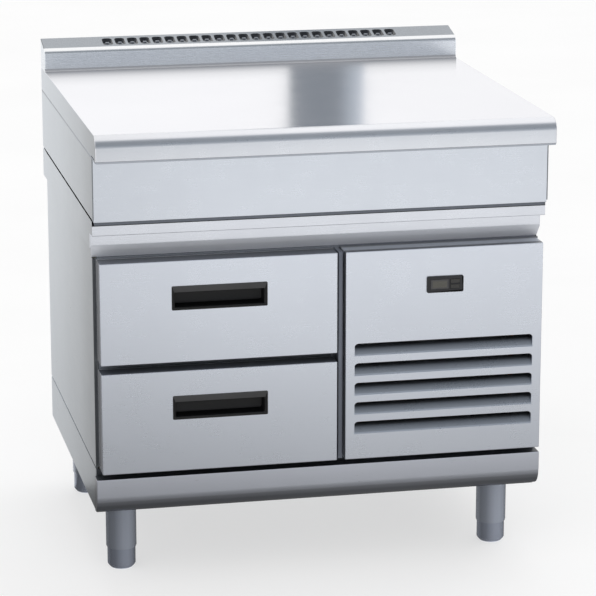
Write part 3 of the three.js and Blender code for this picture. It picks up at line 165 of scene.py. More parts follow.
def steel(name, code, roughness, grain="x", wear=0.1, brushing=0.02, metallic=1.0,
          painted_shade_y=None, across=None, painted_shade_round=None):
    """Brushed sheet steel: fine grain one way, faint clouds from the mill and worn edges.
    Optional stops paint shade into the colour: along Y, along X, and round an upright tube by
    the way its surface faces, which also paints its highlight."""
    made = Recipe(name)
    lines = made.noise(9.0, 3.0, 0.65, GRAINS[grain])
    worn = made.times(made.edges(0.0012), wear)
    plain = made.blend(made.spread(lines, 0.0, 1.0), tone(code), shade(code, 0.986))
    clouded = made.blend(made.spread(made.noise(3.2), 0.0, 0.5), plain, shade(code, 1.05))
    colour = made.blend(worn, clouded, shade(code, 1.12))
    # painted shade and highlight: the colour darkens along Y, round an upright tube by the X of its normal, and along X
    if painted_shade_y:
        colour = made.fade(colour, made.place, 1, painted_shade_y)
    if painted_shade_round:
        colour = made.fade(colour, made.put("ShaderNodeNewGeometry").outputs["Normal"], 0, painted_shade_round)
    if across:
        colour = made.fade(colour, made.place, 0, across)
    smudges = made.spread(made.noise(17.0, 4.0, 0.6), -0.012, 0.02)
    grainy = made.sum(made.spread(lines, -brushing, brushing), smudges)
    rough = made.sum(made.sum(grainy, roughness), made.times(worn, -0.08))
    return made.coat(colour, rough, metallic, lines, 0.005, 0.00003)


def zinc(name, code, roughness):
    """Galvanised sheet: crystal patches that differ a little in tone and gloss."""
    made = Recipe(name)
    patches = made.put("ShaderNodeTexVoronoi", Vector=made.place, Scale=70.0).outputs["Color"]
    patch = made.put("ShaderNodeSeparateColor", Color=patches).outputs[0]
    dust = made.noise(40.0, 4.0)
    colour = made.blend(made.times(made.edges(0.001), 0.4),
                        made.blend(patch, shade(code, 0.86), shade(code, 1.1)), shade(code, 1.3))
    rough = made.sum(made.spread(patch, -0.07, 0.07, 0.0, 1.0), made.spread(dust, roughness - 0.03, roughness + 0.05))
    return made.coat(colour, rough, 0.9, made.sum(patch, dust), 0.15, 0.00008)


def moulded(name, code, roughness, worn_code, speckle=420.0):
    """Moulded plastic or rubber: a fine spark-eroded texture with slightly paler, smoother edges."""
    made = Recipe(name)
    grit = made.noise(speckle, 3.0, 0.7)
    worn = made.times(made.edges(0.0008), 0.45)
    body = made.blend(made.spread(made.noise(14.0, 3.0), 0.0, 1.0), shade(code, 0.9), shade(code, 1.12))
    rough = made.sum(made.spread(grit, roughness - 0.05, roughness + 0.06), made.times(worn, -0.1))
    return made.coat(made.blend(worn, body, tone(worn_code)), rough, 0.0, grit, 0.35, 0.00006)


def painted(name, code, roughness, chip_code):
    """Painted metal: a faint orange peel, dust in broad patches and small chips along the edges."""
    made = Recipe(name)
    dust = made.noise(7.0, 5.0, 0.6)
    chips = made.times(made.edges(0.0015), made.spread(made.noise(90.0, 4.0), 0.0, 1.0, 0.45, 0.62))
    coat = made.blend(made.spread(dust, 0.0, 0.35), tone(code), shade(chip_code, 0.6))
    return made.coat(made.blend(chips, coat, tone(chip_code)), made.spread(dust, roughness - 0.05, roughness + 0.15),
                     0.1, made.noise(260.0), 0.2, 0.00005)


def drawn_copper(name):
    """Drawn copper tube: warm metal with darker oxide patches and fine lines along it."""
    made = Recipe(name)
    oxide = made.noise(22.0, 5.0, 0.6)
    lines = made.noise(160.0)
    return made.coat(made.blend(made.spread(oxide, 0.0, 1.0, 0.42, 0.66), tone("d08a62"), tone("8a5238")),
                     made.sum(made.spread(oxide, 0.24, 0.46), made.spread(lines, -0.04, 0.04)),
                     1.0, lines, 0.15, 0.00004)


def poured_foam(name):
    """Polyurethane foam: cream coloured, open cells and soft browning."""
    made = Recipe(name)
    cells = made.put("ShaderNodeTexVoronoi", Vector=made.place, Scale=420.0).outputs["Distance"]
    return made.coat(made.blend(made.spread(made.noise(5.0, 4.0), 0.0, 1.0), tone("e4dab8"), tone("cdbd8c")),
                     made.spread(cells, 0.85, 0.98, 0.0, 0.5), 0.0, cells, 0.8, 0.0006)


def smoked_window(name, centre, half_width, middle, half_height):
    """Smoked display cover: a faint window over the unlit display, seen through a dark glossy face."""
    made = Recipe(name)
    axes = made.put("ShaderNodeSeparateXYZ", Vector=made.place).outputs
    wide, tall = (made.put("ShaderNodeMath", {"operation": "COMPARE"}, n0=axes[axis], n1=spot, n2=half).outputs[0]
                  for axis, spot, half in ((0, centre, half_width), (2, middle, half_height)))
    face = made.blend(made.times(wide, tall), tone("3d3d3f"), tone("4c4b45"))
    haze = made.noise(60.0, 3.0)
    return made.coat(made.blend(made.spread(haze, 0.0, 0.15), face, tone("6a6862")),
                     made.spread(haze, 0.16, 0.24), 0.0, haze, 0.05, 0.00002)


# painted shade: the nose and the hem darken towards both ends, and the worktop towards its right edge
nose_end_painted_shade = [(-0.451, 0.88), (-0.25, 0.95), (0.1, 0.98), (0.4474, 0.97), (0.4484, 0.72), (0.451, 0.7)]
worktop_steel = steel("worktop_steel", "f3f3f8", 0.13, "x", 0.1, 0.01, across=[
    (-0.451, 1.0), (0.1, 1.0), (0.2, 0.965), (0.4455, 0.96), (0.4474, 0.98), (0.4484, 0.7), (0.451, 0.66)])
nose_steel = steel("nose_steel", "f4f5fa", 0.3, "x", 0.0, across=nose_end_painted_shade)
# painted highlight: a lighter steel for the upstand's rounded nose
polished_steel = steel("polished_steel", "f8f9fb", 0.2, "x", 0.0)
upstand_steel = steel("upstand_steel", "f0f5fd", 0.26, "x", 0.3, 0.08, metallic=0.6)
upstand_top_steel = steel("upstand_top_steel", "a4a9af", 0.3, "y", 0.3, 0.08)
# painted shade: the bars inside the vents are steel toned down to the shade they sit in
vent_bar_steel = steel("vent_bar_steel", "7a7f87", 0.4, "x", metallic=0.4)
# painted shade: the cove at the upstand's foot is darkened, most towards its front
cove_steel = steel("cove_steel", "eceef4", 0.3, "x", 0.0, metallic=0.5, painted_shade_y=[
    (0.328, 0.52), (0.334, 0.52), (0.3362, 0.56), (0.338, 0.64)])
# painted shade: the fascia darkens towards its left end
fascia_steel = steel("fascia_steel", "e6ebf3", 0.28, "x", 0.1, 0.01, across=[
    (-0.45, 0.94), (-0.2, 0.99), (0.0, 1.0), (0.45, 0.98)])
# painted shade: the hem darkens towards its ends like the nose
hem_steel = steel("hem_steel", "f0f3f9", 0.28, "x", 0.2, 0.01, across=nose_end_painted_shade)
front_steel = steel("front_steel", "e4e9f2", 0.28, "x", 0.05, 0.01)
# painted shade: the returns behind the drawer fronts are dark steel that darkens further with depth
fold_steel = steel("fold_steel", "666b76", 0.34, "x", metallic=0.3, painted_shade_y=[
    (-0.361, 1.0), (-0.35, 0.9), (-0.335, 0.55), (-0.322, 0.3), (-0.305, 0.3)])
# painted shade: the louvre blades darken the deeper they lie behind the panel's face
panel_steel = steel("panel_steel", "e4e9f2", 0.28, "x", 0.05, 0.01, painted_shade_y=[
    (-0.3625, 1.0), (-0.3608, 1.0), (-0.3595, 0.66), (-0.356, 0.5), (-0.352, 0.33), (-0.347, 0.2), (-0.305, 0.12)])
# painted shade: the louvre panel's returns are dark near the front and at the back, lighter between
panel_fold_steel = steel("panel_fold_steel", "b4bac4", 0.34, "z", metallic=0.3, painted_shade_y=[
    (-0.361, 0.22), (-0.351, 0.26), (-0.344, 1.0), (-0.325, 1.0), (-0.316, 0.3), (-0.305, 0.2)])
# painted shade: the sides and the other pieces in this steel darken towards the front
side_steel = steel("side_steel", "d2d8de", 0.30, "y", painted_shade_y=[
    (-0.41, 0.45), (-0.33, 0.49), (-0.2, 0.67), (0.1, 0.89), (0.4, 1.0)])
# painted shade: the cabinet sides darken towards the front and are dark at their front edge
cabinet_side_steel = steel("cabinet_side_steel", "d2d8de", 0.30, "y", painted_shade_y=[
    (-0.3055, 0.2), (-0.3045, 0.2), (-0.3035, 0.44), (-0.1, 0.71), (0.15, 0.89), (0.4, 1.0)])
frame_steel = steel("frame_steel", "eceff6", 0.28, "x")
slope_steel = steel("slope_steel", "dcdfe6", 0.4, "x", 0.0, metallic=0.0)
# painted shadow: dark steel for faces in shade: inside the vents, the base frame's front and the rail's top
dim_steel = steel("dim_steel", "3a3d42", 0.4, "x", metallic=0.4)
# painted shade: darkened steel for the post cover and the lintel
cover_steel = steel("cover_steel", "777c87", 0.36, "z", metallic=0.4)
# painted shadow: the line under the worktop's front hem
drip_steel = steel("drip_steel", "b4b9c2", 0.4, "x", metallic=0.4)
# painted shadow: the strip in the gap under the fascia
gap_steel = steel("gap_steel", "6c717a", 0.4, "x", metallic=0.3)
# painted shade: the side returns of the drawer fronts, darkening with depth
fold_side_steel = steel("fold_side_steel", "626773", 0.36, "z", metallic=0.3, painted_shade_y=[
    (-0.361, 1.0), (-0.35, 0.9), (-0.345, 0.45), (-0.322, 0.3), (-0.305, 0.3)])
# dark joint lines along the side seams, and painted shade on the fascia's end faces
seal_steel = steel("seal_steel", "6a6f78", 0.4, "x", metallic=0.4)
joint_steel = steel("joint_steel", "9da2a9", 0.4, "y", metallic=0.4)
# painted shade: the face frame, recessed behind the fronts, is a darkened steel
post_steel = steel("post_steel", "8b9099", 0.36, "z", metallic=0.4)
# painted shade: the rail darkens from its face back over its rounded foot
rail_steel = steel("rail_steel", "e9edf7", 0.30, "x", 0.2, painted_shade_y=[
    (-0.337, 1.0), (-0.3358, 0.95), (-0.3345, 0.58), (-0.331, 0.37), (-0.3, 0.26)])
# painted shade and highlight on the legs and feet: dark at the sides and light right of the middle by the way they
# face, and darker towards the left
tube_painted_shading = [(-1.0, 0.66), (-0.85, 0.4), (-0.55, 0.5), (-0.3, 0.72), (0.0, 0.92), (0.35, 1.0), (0.6, 0.9),
               (0.85, 0.62), (1.0, 0.55)]
leg_steel = steel("leg_steel", "dde5f5", 0.22, "z", metallic=0.7, painted_shade_round=tube_painted_shading, across=[
    (-0.45, 0.89), (0.3, 1.0)])
foot_steel = steel("foot_steel", "d0d8ea", 0.24, "z", metallic=0.72, painted_shade_round=tube_painted_shading, across=[
    (-0.45, 0.9), (0.3, 1.0)])
inner_steel = steel("inner_steel", "c2c5ca", 0.38, "y", 0.3, metallic=0.6)
fin_aluminium = steel("fin_aluminium", "d6d8da", 0.42, "z", 0.3, 0.08)
screw_steel = steel("screw_steel", "b4b7bc", 0.25, "z", 0.5)
galvanised = zinc("galvanised", "aeb3b6", 0.42)
copper = drawn_copper("copper")
foam = poured_foam("foam")
black_paint = painted("black_paint", "202124", 0.42, "6a6c70")
black_plastic = moulded("black_plastic", "08080a", 0.5, "222224")
# painted highlight: a paler plastic for the lit upper lip of the pulls
lip_plastic = moulded("lip_plastic", "3c3c3d", 0.5, "58585a")
dark_plastic = moulded("dark_plastic", "232327", 0.4, "3c3d41")
key_plastic = moulded("key_plastic", "373634", 0.5, "4c4b49")
grey_plastic = moulded("grey_plastic", "8c9094", 0.5, "a9adb0")
gasket_rubber = moulded("gasket_rubber", "55585c", 0.62, "7a7d80", 300.0)


# Meshes

def keep(name, mesh, *finishes):
    piece = bpy.data.objects.new(name, mesh)
    scene.collection.objects.link(piece)
    for finish in finishes:
        mesh.materials.append(finish)
    return piece


def written(name, shape, *finishes):
    """Turns an edited shape into a piece."""
    mesh = bpy.data.meshes.new(name)
    shape.to_mesh(mesh)
    shape.free()
    return keep(name, mesh, *finishes)


def solid(name, shape, *finishes, smooth_below=35.0):
    """A piece that is smooth across small angles and crisp across large ones."""
    for face in shape.faces:
        face.smooth = True
    for edge in shape.edges:
        edge.smooth = not edge.is_manifold or edge.calc_face_angle(0.0) < math.radians(smooth_below)
    return written(name, shape, *finishes)


def plain(piece):
    """Keeps the result of a piece's modifiers as a plain mesh."""
    bpy.context.view_layer.update()
    finished = bpy.data.meshes.new_from_object(piece.evaluated_get(bpy.context.evaluated_depsgraph_get()))
    piece.modifiers.clear()
    piece.data = finished
    return piece


def settle(piece):
    """Evens the shading across rounded bends."""
    piece.modifiers.new("even_shading", "WEIGHTED_NORMAL").keep_sharp = True
    return plain(piece)


def attach(piece, body):
    """Puts a piece on the body that carries it."""
    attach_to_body(piece, body)
    return piece


def stand_for(piece, node):
    """The piece takes the place and body of a node."""
    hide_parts(node)
    return attach(piece, body_of[node])


def cleaned(node):
    """An editable copy of a node's mesh, without its seams and needless edges."""
    shape = bmesh.new()
    shape.from_mesh(nodes[node].data)
    bmesh.ops.remove_doubles(shape, verts=shape.verts, dist=0.00002)
    bmesh.ops.dissolve_limit(shape, angle_limit=math.radians(0.6), verts=shape.verts, edges=shape.edges)
    return shape


def round_off(shape, edges, radius, segments, clamp=False):
    bmesh.ops.bevel(
        shape, geom=edges, offset=radius, segments=segments, profile=0.5, affect="EDGES", clamp_overlap=clamp)


def middle_of(edge):
    return (edge.verts[0].co + edge.verts[1].co) / 2


def runs(edge, axis, least):
    """Whether an edge is longer than least along one axis."""
    return abs(edge.verts[0].co[axis] - edge.verts[1].co[axis]) > least


def face_width(face):
    return 2 * face.calc_area() / face.calc_perimeter()


def formed(node, finish, bend, trim=0.0003, sheet_limit=0.003, adjust=None, rounder=None, others=()):
    """A copy of a node with rounded bends between its faces and small radii along its cut edges.
    adjust moves points of the copy first, rounder is (test, radius) for edges with a wide
    radius, and others are (finish, test) for faces that differ."""
    shape = cleaned(node)
    if adjust:
        for point in shape.verts:
            adjust(point.co)
        shape.normal_update()
    if rounder:
        is_wide, wide_radius = rounder
        round_off(shape, [edge for edge in shape.edges if is_wide(edge)], wide_radius, 7)
        shape.normal_update()
    bends = []
    trims = []
    for edge in shape.edges:
        if edge.is_manifold and edge.calc_face_angle_signed() >= math.radians(25):
            wide = all(face_width(face) > sheet_limit for face in edge.link_faces)
            (bends if wide else trims).append(edge)
    if bends:
        round_off(shape, bends, bend, 4)
        trims = [edge for edge in trims if edge.is_valid]
    if trims:
        round_off(shape, trims, trim, 1, clamp=True)
    shape.normal_update()
    for face in shape.faces:
        face.material_index = next((i for i, (_, test) in enumerate(others, 1) if test(face)), 0)
    piece = solid(f"{node}_formed", shape, finish, *(other for other, _ in others))
    return stand_for(settle(piece), node)


def wider_nose(centre, old, new):
    """Moves the points of a rounded front edge from the old radius to a new one. centre is (y, z)."""
    def move(place):
        dy, dz = place.y - centre[0], place.z - centre[1]
        reach = math.hypot(dy, dz)
        if dy < 0.00001 and dz > -0.00001 and old - 0.003 < reach < old + 0.0002:
            scale = (new - old + reach) / reach
            place.y = centre[0] + (new - old) + dy * scale
            place.z = centre[1] - (new - old) + dz * scale
    return move


def is_nose(face):
    return face.normal.y < -0.12 and face.normal.z > 0.1


def is_front(face):
    return face.normal.y < -0.985


def is_top(face):
    return face.normal.z > 0.7


def is_side(face):
    return abs(face.normal.x) > 0.7


def is_fold(face):
    return abs(face.normal.y) < 0.4 and face.calc_center_median().y > -0.361


def is_side_fold(face):
    return is_fold(face) and is_side(face)


def block(low, high):
    """An editable box from its lowest to its highest corner."""
    shape = bmesh.new()
    bmesh.ops.create_cube(shape, size=1.0)
    middle, size = (Vector(low) + Vector(high)) / 2, Vector(high) - Vector(low)
    for point in shape.verts:
        point.co = middle + Vector(point.co[i] * size[i] for i in range(3))
    return shape


def bar(name, low, high, finish, bend=0.0006):
    """A straight strip with rounded edges on the cabinet."""
    shape = block(low, high)
    round_off(shape, shape.edges, bend, 2)
    return attach(solid(name, shape, finish), "cabinet")


def turned(name, centre, profile, finish):
    """A turned part on an upright axis, from (radius, height) points. Radius 0 is a point on the axis."""
    shape = bmesh.new()
    steps = 56
    rings = []
    for radius, height in profile:
        turns = [2 * math.pi * i / steps for i in range(steps if radius else 1)]
        rings.append([shape.verts.new((
            centre[0] + radius * math.cos(turn), centre[1] + radius * math.sin(turn), height)) for turn in turns])
    for low, high in zip(rings, rings[1:]):
        for i in range(steps):
            k = (i + 1) % steps
            corners = [low[i % len(low)], low[k % len(low)], high[k % len(high)], high[i % len(high)]]
            shape.faces.new(list(dict.fromkeys(corners)))
    bmesh.ops.recalc_face_normals(shape, faces=shape.faces)
    return solid(name, shape, finish, smooth_below=28.0)


def outline(left, right, low, high, y, radius):
    """The points of a rounded rectangle facing the front, clockwise from its lower left corner."""
    points = []
    steps = 5
    for x, z, start in ((left, low, 180), (left, high, 90), (right, high, 0), (right, low, -90)):
        cx = x + radius if x == left else x - radius
        cz = z + radius if z == low else z - radius
        for i in range(steps + 1):
            angle = math.radians(start + 90 - 90 * i / steps)
            points.append((cx + radius * math.cos(angle), y, cz + radius * math.sin(angle)))
    return points


def skin(lines, caps=True):
    """A skin over lines with the same number of points, capped at both ends or led round to the first line."""
    shape = bmesh.new()
    loops = [[shape.verts.new(point) for point in line] for line in lines]
    for first, second in zip(loops, loops[1:] if caps else loops[1:] + loops[:1]):
        for i in range(len(first)):
            k = (i + 1) % len(first)
            shape.faces.new((first[i], first[k], second[k], second[i]))
    if caps:
        shape.faces.new(loops[0])
        shape.faces.new(loops[-1])
    bmesh.ops.recalc_face_normals(shape, faces=shape.faces)
    return shape


def joined(name, pieces):
    """Several loose pieces made into one mesh."""
    shape = bmesh.new()
    finishes = []
    for piece in pieces:
        start = len(shape.faces)
        shape.from_mesh(piece.data)
        shape.faces.ensure_lookup_table()
        for finish in piece.data.materials:
            if finish not in finishes:
                finishes.append(finish)
        for face in shape.faces[start:]:
            face.material_index = finishes.index(piece.data.materials[face.material_index])
    for piece in pieces:
        bpy.data.objects.remove(piece)
    return written(name, shape, *finishes)


def moved(piece, x, y, z):
    for point in piece.data.vertices:
        point.co += Vector((x, y, z))
    return piece


# Repeated parts, made by geometry trees

class Pattern(Tree):
    """A geometry tree with named sizes. It ends in real geometry with its own finish."""

    def __init__(self, name):
        super().__init__(bpy.data.node_groups.new(name, "GeometryNodeTree"))
        for way in ("INPUT", "OUTPUT"):
            self.tree.interface.new_socket("Geometry", in_out=way, socket_type="NodeSocketGeometry")
        self.start = self.put("NodeGroupInput")
        self.end = self.put("NodeGroupOutput")
        self.sizes = {}

    def size(self, name, kind="NodeSocketFloat"):
        self.sizes[name] = self.tree.interface.new_socket(name, in_out="INPUT", socket_type=kind)
        return self.start.outputs[name]

    def shape(self, kind, settings=None, **inputs):
        """Adds a geometry node and hands over its first output."""
        return self.put(f"GeometryNode{kind}", settings, **inputs).outputs[0]

    def vector(self, x=0.0, y=0.0, z=0.0):
        return self.put("ShaderNodeCombineXYZ", X=x, Y=y, Z=z).outputs[0]

    def join(self, *parts):
        node = self.put("GeometryNodeJoinGeometry")
        for part in reversed(parts):
            self.tree.links.new(part, node.inputs[0])
        return node.outputs[0]

    def row(self, item, count, start=(0, 0, 0), turn=(0, 0, 0), **step):
        """Copies of an item in a line, each one step after the last."""
        line = self.shape("MeshLine", Count=count, Start_Location=start, Offset=self.vector(**step))
        return self.shape("InstanceOnPoints", Points=line, Instance=item, Rotation=turn)

    def close(self, geometry, finish, smooth=False):
        real = self.shape("RealizeInstances", Geometry=geometry)
        if smooth:
            real = self.shape("SetShadeSmooth", Geometry=real, Shade_Smooth=True)
        last = self.put("GeometryNodeSetMaterial", Geometry=real, Material=finish)
        self.set(self.end.inputs[0], last.outputs[0])
        return self

    def grow(self, name, base=None, **sizes):
        piece = keep(name, base or bpy.data.meshes.new(name))
        modifier = piece.modifiers.new(name, "NODES")
        modifier.node_group = self.tree
        for key, value in sizes.items():
            modifier[self.sizes[key].identifier] = value
        return plain(piece)


def screw_pattern(finish):
    """Domed screw heads with a washer, one at each point of the base mesh, facing its facing vector."""
    made = Pattern("screw_heads")
    radius, height = made.size("radius"), made.size("height")
    washer, skirt, dome = (
        made.put("GeometryNodeMeshCone", Vertices=16, Radius_Top=made.times(radius, top),
                 Radius_Bottom=made.times(radius, bottom), Depth=made.times(height, depth)).outputs["Mesh"]
        for top, bottom, depth in ((1.32, 1.4, 0.3), (0.9, 1.0, 0.85), (0.5, 0.9, 0.15)))
    lifted = made.shape("Transform", Geometry=dome, Translation=made.vector(z=made.times(height, 0.85)))
    facing = made.shape("InputNamedAttribute", {"data_type": "FLOAT_VECTOR"}, Name="facing")
    turn = made.put("FunctionNodeAlignRotationToVector", {"axis": "Z"}, Vector=facing).outputs[0]
    heads = made.shape("InstanceOnPoints", Points=made.start.outputs[0],
                       Instance=made.join(washer, skirt, lifted), Rotation=turn)
    return made.close(heads, finish)


def oblong_pattern(finish):
    """A row of upright rounded oblongs on a common pitch."""
    made = Pattern("oblong_row")
    width, length, height = (made.size(name) for name in ("width", "length", "height"))
    corner, pitch = made.size("corner"), made.size("pitch")
    count = made.size("count", "NodeSocketInt")
    border = made.shape("CurvePrimitiveQuadrilateral", Width=width, Height=length)
    rounded = made.shape("FilletCurve", {"mode": "POLY"}, Curve=border, Radius=corner, Count=5)
    face = made.shape("FillCurve", Curve=rounded)
    upper = made.shape("ExtrudeMesh", Mesh=face, Offset_Scale=height, Individual=False)
    closed = made.join(upper, made.shape("FlipFaces", Mesh=face))
    merged = made.shape("MergeByDistance", Geometry=closed, Distance=0.00001)
    return made.close(made.row(merged, count, x=pitch), finish)


def fin_pattern(finish):
    """Thin upright plates in a row along X."""
    made = Pattern("fins")
    count = made.size("count", "NodeSocketInt")
    pitch, depth, height = (made.size(name) for name in ("pitch", "depth", "height"))
    plate = made.shape("MeshCube", Size=made.vector(0.0005, depth, height))
    return made.close(made.row(plate, count, x=pitch), finish)


def coil_pattern(finish):
    """Level tubes one above another, joined in pairs by round bends at both ends."""
    made = Pattern("coil")
    pairs = made.size("pairs", "NodeSocketInt")
    span, pitch, radius = (made.size(name) for name in ("span", "pitch", "radius"))
    tube = made.put("GeometryNodeMeshCylinder", Vertices=10, Radius=radius, Depth=span).outputs["Mesh"]
    level = made.shape("Transform", Geometry=tube, Rotation=(0, math.radians(90), 0))
    arc = made.shape("CurveArc", Resolution=7, Radius=made.times(pitch, 0.5),
                   Start_Angle=math.radians(-90), Sweep_Angle=math.radians(180))
    circle = made.shape("CurvePrimitiveCircle", Resolution=8, Radius=radius)
    bend = made.shape("CurveToMesh", Curve=arc, Profile_Curve=circle, Fill_Caps=True)
    double = made.times(pitch, 2.0)
    right = made.vector(x=made.times(span, 0.5), z=made.times(pitch, 0.5))
    left = made.vector(x=made.times(span, -0.5), z=made.times(pitch, 1.5))
    return made.close(made.join(
        made.row(level, made.times(pairs, 2.0), z=pitch),
        made.row(bend, pairs, right, (math.radians(90), 0, 0), z=double),
        made.row(bend, made.sum(pairs, -1.0), left, (math.radians(90), 0, math.radians(180)), z=double)),
        finish, smooth=True)


def hood_pattern(finish):
    """Flat pressed hoods one above another."""
    made = Pattern("hoods")
    count, pitch = made.size("count", "NodeSocketInt"), made.size("pitch")
    ball = made.shape("MeshUVSphere", Segments=32, Rings=10, Radius=1.0)
    hood = made.shape("Transform", Geometry=ball, Scale=(0.133, 0.0045, 0.0075))
    return made.close(made.row(hood, count, z=pitch), finish, smooth=True)


def bead_pattern(finish):
    """A weld bead that runs round in a level circle."""
    made = Pattern("bead")
    radius, size = made.size("radius"), made.size("bead")
    path = made.shape("CurvePrimitiveCircle", Resolution=64, Radius=radius)
    section = made.shape("CurvePrimitiveCircle", Resolution=8, Radius=size)
    bead = made.shape("CurveToMesh", Curve=path, Profile_Curve=section)
    return made.close(bead, finish, smooth=True)


screws = screw_pattern(screw_steel)
vents = oblong_pattern(vent_bar_steel)
fins = fin_pattern(fin_aluminium)
coils = coil_pattern(copper)
hoods = hood_pattern(galvanised)
beads = bead_pattern(black_paint)


def screw_set(name, body, slot, places, radius=0.0035, height=0.0026):
    """A set of screw heads on one body, from (place, facing) pairs."""
    base = bpy.data.meshes.new(name)
    base.from_pydata([place for place, facing in places], [], [])
    facings = base.attributes.new("facing", "FLOAT_VECTOR", "POINT")
    for i, (place, facing) in enumerate(places):
        facings.data[i].vector = facing
    return attach(screws.grow(name, base, radius=radius, height=height), body)


# Sheet metal

worktop_low, worktop_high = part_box("worktop")
frame_low, frame_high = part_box("face_frame")
panel_low, panel_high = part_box("louvre_panel")
front_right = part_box("drawer_front_upper")[1].x
fascia_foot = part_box("fascia_panel")[0].z
nose, wide_nose = 0.012, 0.0225
lip_top, lip_rise = 0.7287, 0.0025
side_edge, band_front, band_foot = -0.2935, -0.305, 0.6794
near = 0.0003
rail_bend_top, rail_bend_stretch = 0.1858, 1.3
skirt_top, skirt_drop = 0.156, 0.008


def fill_corners(place):
    """Raises the lip towards the fascia, and brings the sides and the band together at the front corners."""
    if abs(place.z - lip_top) < near and place.y < -0.33:
        place.z += lip_rise
    if abs(place.y - side_edge) < near and abs(place.x) > 0.448:
        place.y = band_front + 0.0004
    if abs(abs(place.x) - 0.446) < near and place.z > band_foot - 0.0001 and place.y < -0.3:
        place.x = math.copysign(0.4488, place.x)


def is_band_foot(edge):
    middle = middle_of(edge)
    return abs(middle.z - band_foot) < 0.0004 and abs(middle.y - band_front) < 0.0004 and edge.calc_length() > 0.5


def is_slope(face):
    middle = face.calc_center_median()
    return -0.95 < face.normal.z < -0.1 and face.normal.y < -0.1 and -0.306 < middle.y < -0.29 and middle.z < 0.69


def lower_bend(place):
    """Makes the rounded foot of the rail a little taller than it is deep."""
    if place.z < rail_bend_top:
        place.z = rail_bend_top - (rail_bend_top - place.z) * rail_bend_stretch


def lower_skirt(place):
    """Brings the lower rim of the base down to the foot of the rail."""
    if place.z < skirt_top:
        place.z -= skirt_drop


def is_panel_fold(face):
    middle = face.calc_center_median()
    beside = min(middle.x - panel_low.x, panel_high.x - middle.x, middle.z - panel_low.z, panel_high.z - middle.z)
    return is_fold(face) and beside < 0.002


widen = wider_nose((worktop_low.y + nose, worktop_high.z - nose), nose, wide_nose)
formed("worktop", worktop_steel, 0.0012, adjust=widen, others=[
    (hem_steel, is_front), (nose_steel, is_nose), (side_steel, is_side)])
# the fascia's end faces take the dark steel as painted shade
formed("fascia_panel", fascia_steel, 0.0008, others=[(seal_steel, is_side)])
for side in ("left", "right"):
    formed(f"bench_side_{side}", side_steel, 0.0008)
    formed(f"cabinet_side_{side}", cabinet_side_steel, 0.0008)
formed("bench_back", side_steel, 0.0004)
formed("top_frame", frame_steel, 0.0012, adjust=fill_corners, rounder=(is_band_foot, 0.007), others=[
    (side_steel, is_side), (slope_steel, is_slope)])
# the base frame's front and the rail's top, in shade under the fronts, take the dark steel as painted shadow
formed("base_frame", side_steel, 0.0015, adjust=lower_skirt, others=[(dim_steel, is_front)])
formed("front_rail", rail_steel, 0.0015, adjust=lower_bend, others=[(dim_steel, is_top)])
formed("face_frame", post_steel, 0.0006)
formed("cabinet_back", galvanised, 0.0004)
for level in ("upper", "lower"):
    formed(f"drawer_front_{level}", front_steel, 0.0014, others=[
        (fold_side_steel, is_side_fold), (fold_steel, is_fold)])
    formed(f"drawer_liner_{level}", inner_steel, 0.001)
    formed(f"drawer_box_{level}", inner_steel, 0.0012)
formed("louvre_panel", panel_steel, 0.0014, others=[(panel_fold_steel, is_panel_fold)])
formed("electrical_box", grey_plastic, 0.004)
formed("unit_tray", galvanised, 0.0012)
formed("evaporator_housing", inner_steel, 0.0015)

# Strips that close the joints round the fronts: post cover, lintel and side seal, and painted shadow lines in the gap
# under the fascia and under the worktop's hem. The post cover and the lintel are darkened steel as painted shade.

bar("post_cover", (front_right + 0.0045, -0.351, 0.2405), (panel_low.x - 0.0032, -0.3052, 0.6592), cover_steel)
bar("machine_lintel", (frame_high.x, -0.3044, 0.6485), (0.441, -0.2935, 0.6606), cover_steel)
bar("side_seal_left", (-0.441, -0.3048, 0.24), (frame_low.x, -0.3, 0.6597), gasket_rubber)
bar("fascia_gap_shade", (-0.4462, -0.3474, 0.7334), (0.4462, -0.33, fascia_foot + 0.0004), gap_steel)
for side, x in (("left", -0.4472), ("right", 0.446)):
    bar(f"side_seam_{side}", (x, -0.292, 0.6775), (x + 0.0012, 0.4, 0.6812), seal_steel)
bar("hem_shadow_line", (worktop_low.x + 0.0012, worktop_low.y + 0.0006, worktop_low.z - 0.0034),
    (worktop_high.x - 0.0012, worktop_low.y + 0.004, worktop_low.z + 0.0008), drip_steel)
for side, x in (("left", worktop_low.x - 0.0003), ("right", worktop_high.x - 0.0022)):
    bar(f"side_joint_{side}", (x, worktop_low.y + 0.004, worktop_low.z - 0.0024),
        (x + 0.0025, 0.4, worktop_low.z + 0.0012), joint_steel)

# Upstand: folded from the section of its node, with a wide nose in a lighter steel as painted highlight, and rounded
# vents with a bar in each

upstand_low, upstand_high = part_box("rear_upstand")
shape = cleaned("rear_upstand")
end_faces = [face for face in shape.faces
             if face.normal.x < -0.9 and face.calc_center_median().x < upstand_low.x + 0.0001]
section = [point.co.copy() for point in max(end_faces, key=lambda face: face.calc_area()).verts]
shape.free()
nose_top = max(point.z for point in section if abs(point.y - upstand_low.y) < 0.00002)
widen = wider_nose((upstand_low.y + 0.006, nose_top), 0.006, 0.013)
for point in section:
    widen(point)
shape = skin([[(x, point.y, point.z) for point in section] for x in (upstand_low.x, upstand_high.x)])
round_off(shape, [edge for edge in shape.edges if not runs(edge, 0, 0.0001)], 0.0016, 3)
upstand = solid("rear_upstand_formed", shape, upstand_steel)
upstand.visible_glossy = False

